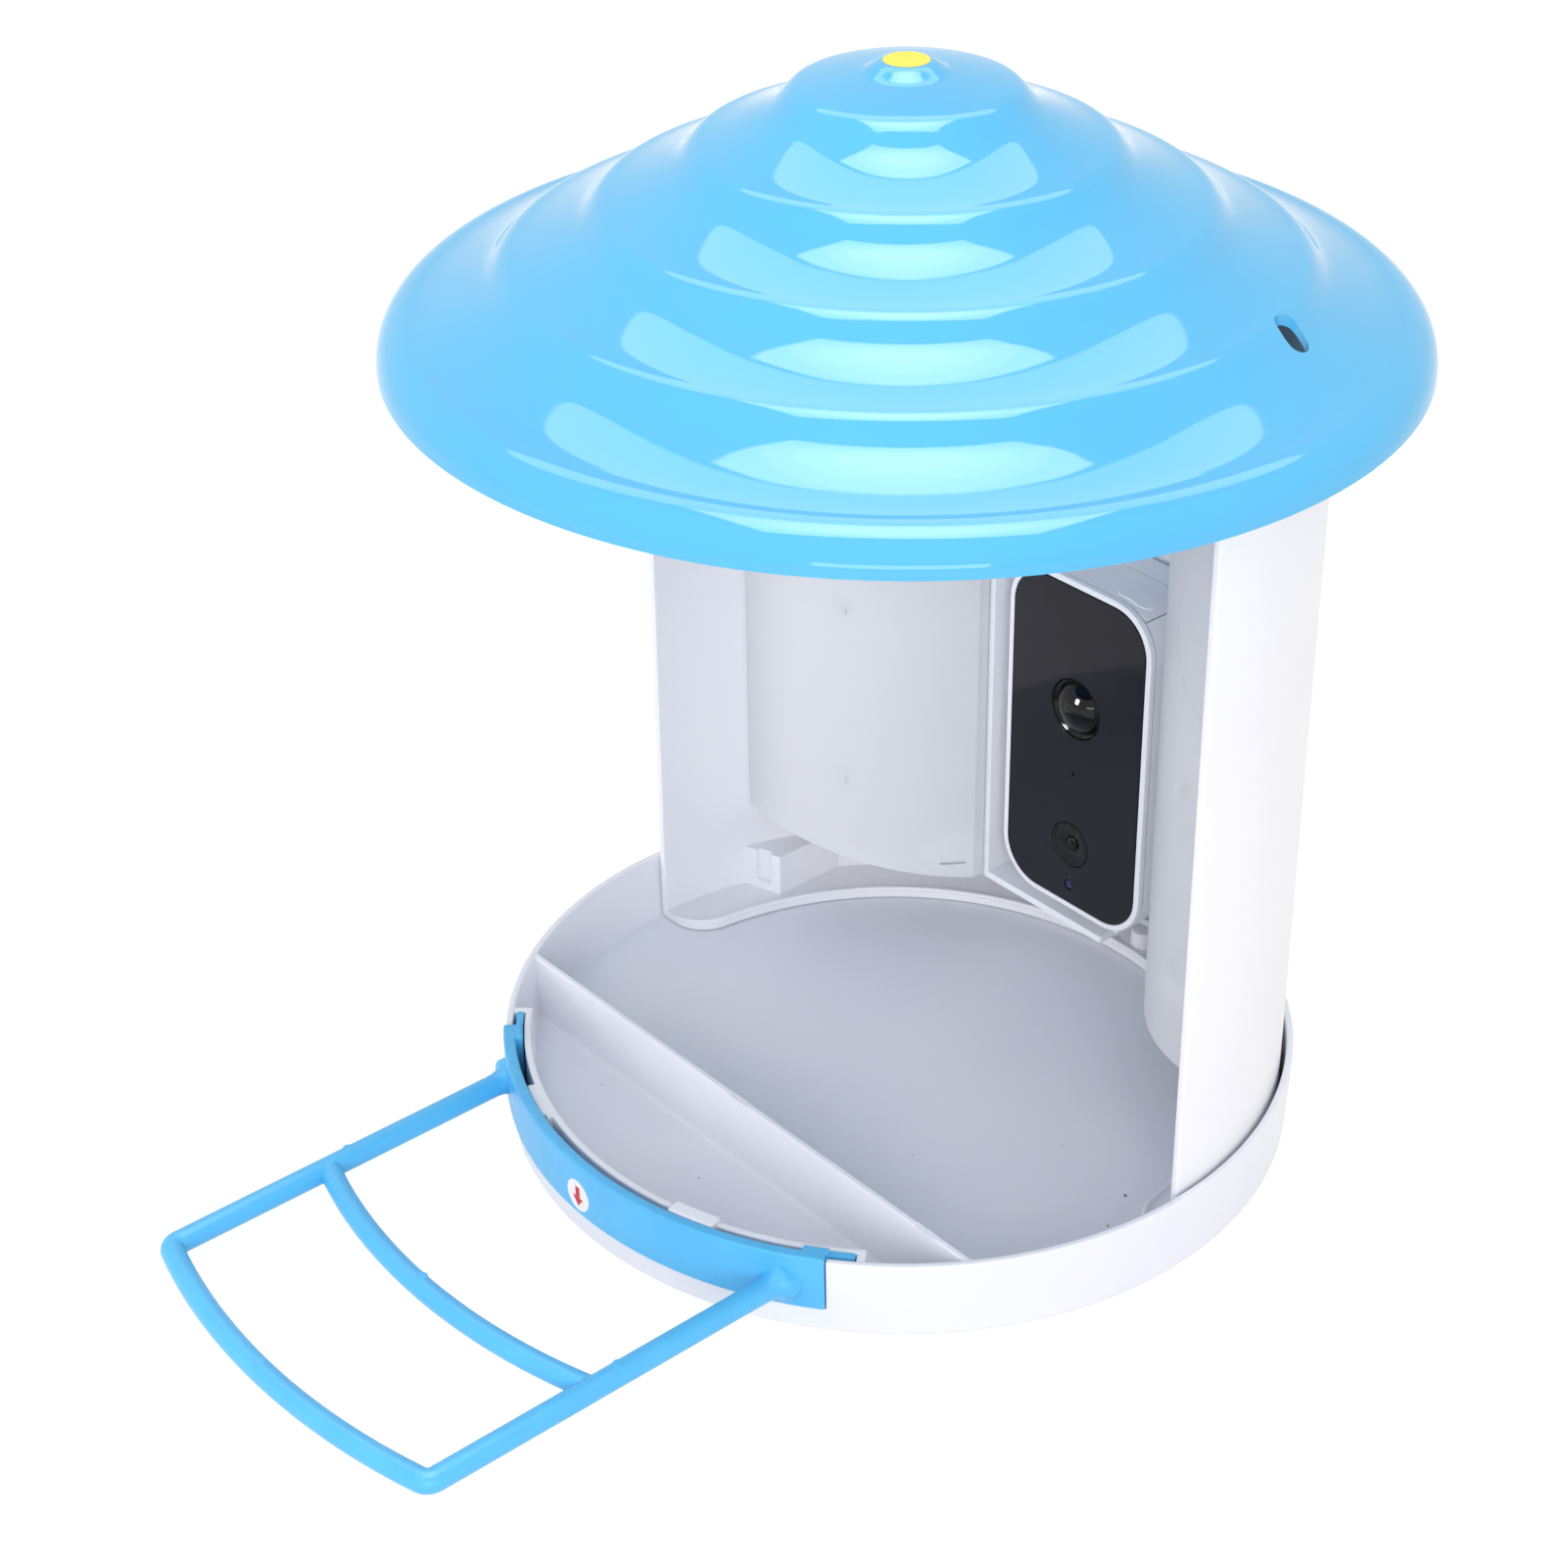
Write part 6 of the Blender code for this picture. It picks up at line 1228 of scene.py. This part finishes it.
def cover_path(inset, clearance):
    """The case's top edge in front view, from the cover's left end to its right end on the corner."""
    corner = (CASE_WIDTH / 2 - CASE_CORNER, CASE_HEIGHT / 2 - CASE_CORNER)
    last = pi / 2 - COVER_END_TURN - clearance / CASE_CORNER
    path = [(-COVER_LEFT - clearance, CASE_HEIGHT / 2 - inset)]
    return path + arc(CASE_CORNER - inset, pi / 2, last, CORNER, corner)


def cover_band(clearance, outer_inset, depth):
    """The cover's front view: a strip that follows the case, longer by a clearance at both ends."""
    return cover_path(outer_inset, clearance) + cover_path(depth, clearance)[::-1]


def cover_plan():
    """The cover seen from above: its two right corners are round."""
    back = CASE_FRONT + COVER_WIDTH
    end = CASE_WIDTH / 2 - CASE_CORNER + CASE_CORNER * sin(COVER_END_TURN)
    corner = COVER_END_ROUND
    outline = [(-CASE_WIDTH / 2, back), (-CASE_WIDTH / 2, CASE_FRONT)]
    outline += arc(corner, FRONT, 0, CORNER, (end - corner, CASE_FRONT + corner))
    return outline + arc(corner, 0, pi / 2, CORNER, (end - corner, back - corner))


def make_rear_case():
    front = CASE_FRONT - OVERRUN
    reach = CASE_HEIGHT
    case = cut(standing([case_outline(0)], front - CASE_BACK_ROUND, CAMERA_DEPTH, CASE_BACK_ROUND),
               block((-reach, -reach, -reach), (reach, CASE_FRONT, reach)),
               standing([case_outline(CASE_WALL)], front, CAMERA_DEPTH - CASE_WALL),
               standing([case_outline(SEAL_INSET)], front, CASE_FRONT + SEAL_THICKNESS + GAP))
    post_front = CAMERA_DEPTH - CASE_WALL - CASE_WEB - CASE_SCREW_HEAD_HEIGHT
    places = case_screw_places()
    case = join(case, pegs(places, post_front, CAMERA_DEPTH - GAP, CASE_SHOULDER_RADIUS))
    case = cut(case, wells(places, CAMERA_DEPTH + OVERRUN, post_front + CASE_WEB, post_front - OVERRUN,
                           CASE_SCREW_HEAD + GAP, CASE_SCREW_SHANK + GAP))
    top = CASE_HEIGHT / 2
    left, right = SOCKET_X - SOCKET_WIDTH / 2 - GAP, SOCKET_X + SOCKET_WIDTH / 2 + GAP
    near, far = PORT_Y - SOCKET_DEPTH / 2 - GAP, PORT_Y + SOCKET_DEPTH / 2 + GAP
    socket = rounded(rectangle(left, near, right, far), THIN_EDGE)
    band = cover_band(GAP, -OVERRUN, COVER_THICKNESS + GAP)
    case = cut(case, standing([band], front, CASE_FRONT + COVER_WIDTH + GAP), slab([socket], top / 2, top + OVERRUN),
               cylinder((BUTTON_X, PORT_Y, top / 2), (BUTTON_X, PORT_Y, top + OVERRUN), BUTTON_RADIUS + GAP))
    add_camera_piece("rear_case", case, "white", "camera_rear_case")


def make_port_cover():
    """The rubber strip over the socket and the button, with its finger grip."""
    ends = GRIP_WIDTH / 2
    grip_y = CASE_FRONT + GRIP_SETBACK + ends
    pill = arc(ends, FRONT, pi / 2, CORNER, (GRIP_RIGHT - ends, grip_y))
    pill += arc(ends, pi / 2, pi * 1.5, CORNER, (GRIP_RIGHT - GRIP_LENGTH + ends, grip_y))
    strip, grip = [boolean("INTERSECT", standing([band], CASE_FRONT, CASE_FRONT + COVER_WIDTH),
                           slab([plan], CASE_HEIGHT / 2 - CASE_CORNER, CASE_HEIGHT / 2 + OVERRUN))
                   for band, plan in ((cover_band(0, 0, COVER_THICKNESS), cover_plan()),
                                      (cover_band(-GRIP_SETBACK, -GRIP_RISE, COVER_THICKNESS / 2), pill))]
    cover = evaluated(join(strip, grip), "BEVEL", width=COVER_EDGE, segments=2, limit_method="ANGLE",
                      angle_limit=radians(50))
    add_camera_piece("port_flap", cover, "rubber", "port_cover", body="port_cover")


def make_case_screws():
    screw = back_screw(CASE_SCREW_HEAD, CASE_SCREW_HEAD_HEIGHT, CASE_SCREW_SHANK, CASE_WEB + CASE_SCREW_BITE - GAP)
    seat = CAMERA_DEPTH - CASE_WALL - CASE_SCREW_HEAD_HEIGHT
    for number, (across, level) in enumerate(case_screw_places(), 1):
        mesh = moved(screw.copy(), (across, seat, level))
        add_camera_piece(f"case_screw_fine_{number}", mesh, "steel", f"case_screw_{number}")


# Stickers

def wrapped(outline, lift):
    """A flat outline given a sticker's thickness and bent onto the perch plate's curve."""
    radius = PLATE_RADIUS + 2 * WELD
    shape = held(slab([outline], 0, STICKER_THICKNESS))
    bmesh.ops.triangulate(shape, faces=shape.faces)
    bmesh.ops.subdivide_edges(shape, edges=shape.edges, cuts=2)
    for vertex in shape.verts:
        turn = vertex.co.x / radius + STICKER_ANGLE
        reach = radius + lift + vertex.co.z
        vertex.co = Vector((reach * cos(turn), reach * sin(turn), STICKER_HEIGHT + vertex.co.y))
    return tidy_mesh(shape)


def make_stickers():
    """A round yellow sticker on the roof's top and a white one with a red arrow on the perch's plate."""
    thick = STICKER_THICKNESS
    dot = turned([(0, thick), (DOT_RADIUS, thick - DOT_CROWN), (DOT_LIP_RADIUS, 0), (DOT_RADIUS, -thick),
                  (0, -DOT_HOLLOW)], ROUND, (0, 0, ROOF_BASE + ROOF_RISE - thick))
    add_piece("top_sticker", dot, "yellow", "roof")
    add_piece("arrow_sticker", wrapped(circle(ARROW_STICKER_RADIUS), 0), "paper", "perch")
    add_piece("arrow_sticker_mark", wrapped(ARROW, thick), "red", "perch")


for look, names in {"steel": ("motion_sensor", "charging_socket"), "rubber": ("case_seal",),
                    "matt": ("lens_barrel", "power_button", "loudspeaker"), "board": ("circuit_board",),
                    "wrap": ("battery_pack",)}.items():
    for name in names:
        dress(nodes[name].data, look)

make_tray()
make_perch()
make_back_wall()
make_screws()
for hand, side in HANDS:
    make_bin(hand, side)
make_pocket()
make_roof()
make_front_frame()
make_face()
make_rear_case()
make_port_cover()
make_case_screws()
make_stickers()


# Floor, lights and the camera

def add_background(tree, plain, seen, output):
    """Show one shader to the camera, in mirrors and through glass, and the plain one to all other rays."""
    path = tree.nodes.new("ShaderNodeLightPath").outputs
    rays = path["Is Camera Ray"]
    for ray in ("Is Glossy Ray", "Is Transmission Ray"):
        rays = add_node(tree, "Math", "Value", {0: rays, 1: path[ray]}, operation="MAXIMUM")
    mix = add_node(tree, "MixShader", "Shader", {"Fac": rays, 1: plain, 2: seen})
    fill(tree, tree.nodes[output], {"Surface": mix})


def make_floor():
    """A pale floor that looks white to the camera and in reflections, and keeps the object's shadow."""
    mesh = bpy.data.meshes.new("studio_floor")
    corners = rectangle(-FLOOR_REACH, -FLOOR_REACH, FLOOR_REACH, FLOOR_REACH)
    mesh.from_pydata([(*corner, FLOOR_HEIGHT) for corner in corners], [], [(0, 1, 2, 3)])
    made = bpy.data.materials.new("studio_floor")
    made.use_nodes = True
    tree = made.node_tree
    tree.nodes.remove(tree.nodes["Principled BSDF"])
    matt = add_node(tree, "BsdfDiffuse", "BSDF", {"Color": FLOOR_COLOUR})
    shadow = add_node(tree, "BsdfDiffuse", "BSDF", {"Color": SHADOW_COLOUR})
    glow = add_node(tree, "Emission", "Emission", {"Strength": FLOOR_GLOW})
    add_background(tree, matt, add_node(tree, "AddShader", "Shader", {0: shadow, 1: glow}), "Material Output")
    mesh.materials.append(made)
    add_object("studio_floor", mesh)


def make_world():
    world = bpy.data.worlds.new("studio")
    bpy.context.scene.world = world
    world.use_nodes = True
    tree = world.node_tree
    plain = tree.nodes["Background"]
    fill(tree, plain, {"Color": SKY_COLOUR, "Strength": SKY_STRENGTH})
    white = add_node(tree, "Background", "Background", {"Color": (1, 1, 1, 1), "Strength": 1.0})
    add_background(tree, plain.outputs["Background"], white, "World Output")


def add_light(name, azimuth, elevation, distance, width, height, power, shape="RECTANGLE", diffuse=True,
              glossy=True, aim=LAMP_TARGET, spread=180):
    """A soft lamp that looks at the feeder. Azimuth 0 is in front of the perch, 90 on its right."""
    turn = radians(azimuth)
    rise = radians(elevation)
    away = Vector((sin(turn) * cos(rise), -cos(turn) * cos(rise), sin(rise)))
    lamp = bpy.data.lights.new(name, "AREA")
    lamp.shape = shape
    lamp.size = width
    lamp.size_y = height
    lamp.energy = power
    lamp.spread = radians(spread)
    made = add_object(name, lamp)
    made.location = Vector(LAMP_TARGET) + away * distance
    made.rotation_mode = "QUATERNION"
    made.rotation_quaternion = (Vector(aim) - made.location).to_track_quat("-Z", "Y")
    made.visible_camera = False
    made.visible_diffuse = diffuse
    made.visible_glossy = glossy


def make_camera():
    lens = bpy.data.cameras.new("camera")
    lens.lens = CAMERA_LENS
    lens.sensor_width = 36
    made = add_object("camera", lens)
    made.matrix_world = (Matrix.Translation(CAMERA_PLACE) @ Matrix.Rotation(CAMERA_YAW, 4, "Z")
                         @ Matrix.Rotation(pi / 2 - CAMERA_PITCH, 4, "X") @ Matrix.Rotation(CAMERA_ROLL, 4, "Z"))
    bpy.context.scene.camera = made


make_floor()
add_light("softbox", *SOFTBOX, 1.25, *SOFTBOX_SIZE, 5.5)
add_light("softbox_sheen", *SOFTBOX, 1.245, *SOFTBOX_SIZE, 5.5, diffuse=False)
for number, (share, power) in enumerate(((0.95, 1.7), (0.70, 0.9), (0.45, 0.4))):
    add_light(f"softbox_core_{number}", *SOFTBOX, 1.24 - 0.005 * number, *[size * share for size in SOFTBOX_SIZE],
              power, "ELLIPSE", diffuse=False)
add_light("back_sheen", 47, 118, 1.6, 2.2, 0.70, 9, "ELLIPSE", diffuse=False)
add_light("brim_sheen", 47, 7, 1.8, 1.1, 0.25, 3.5, diffuse=False)
add_light("dome_glint", -14, 5, 0.085, 0.040, 0.052, 0.012, diffuse=False, aim=(0, 0.062, 0.0866), spread=26)
for name, azimuth, elevation, power in (("front", 50, 17, 16), ("left", -25, 15, 8.5), ("right", 92, 17, 2.5)):
    add_light(f"{name}_fill", azimuth, elevation, 1.9, 1.0, 1.0, power, glossy=False)
make_world()
make_camera()
bpy.context.scene.view_settings.view_transform = "Standard"
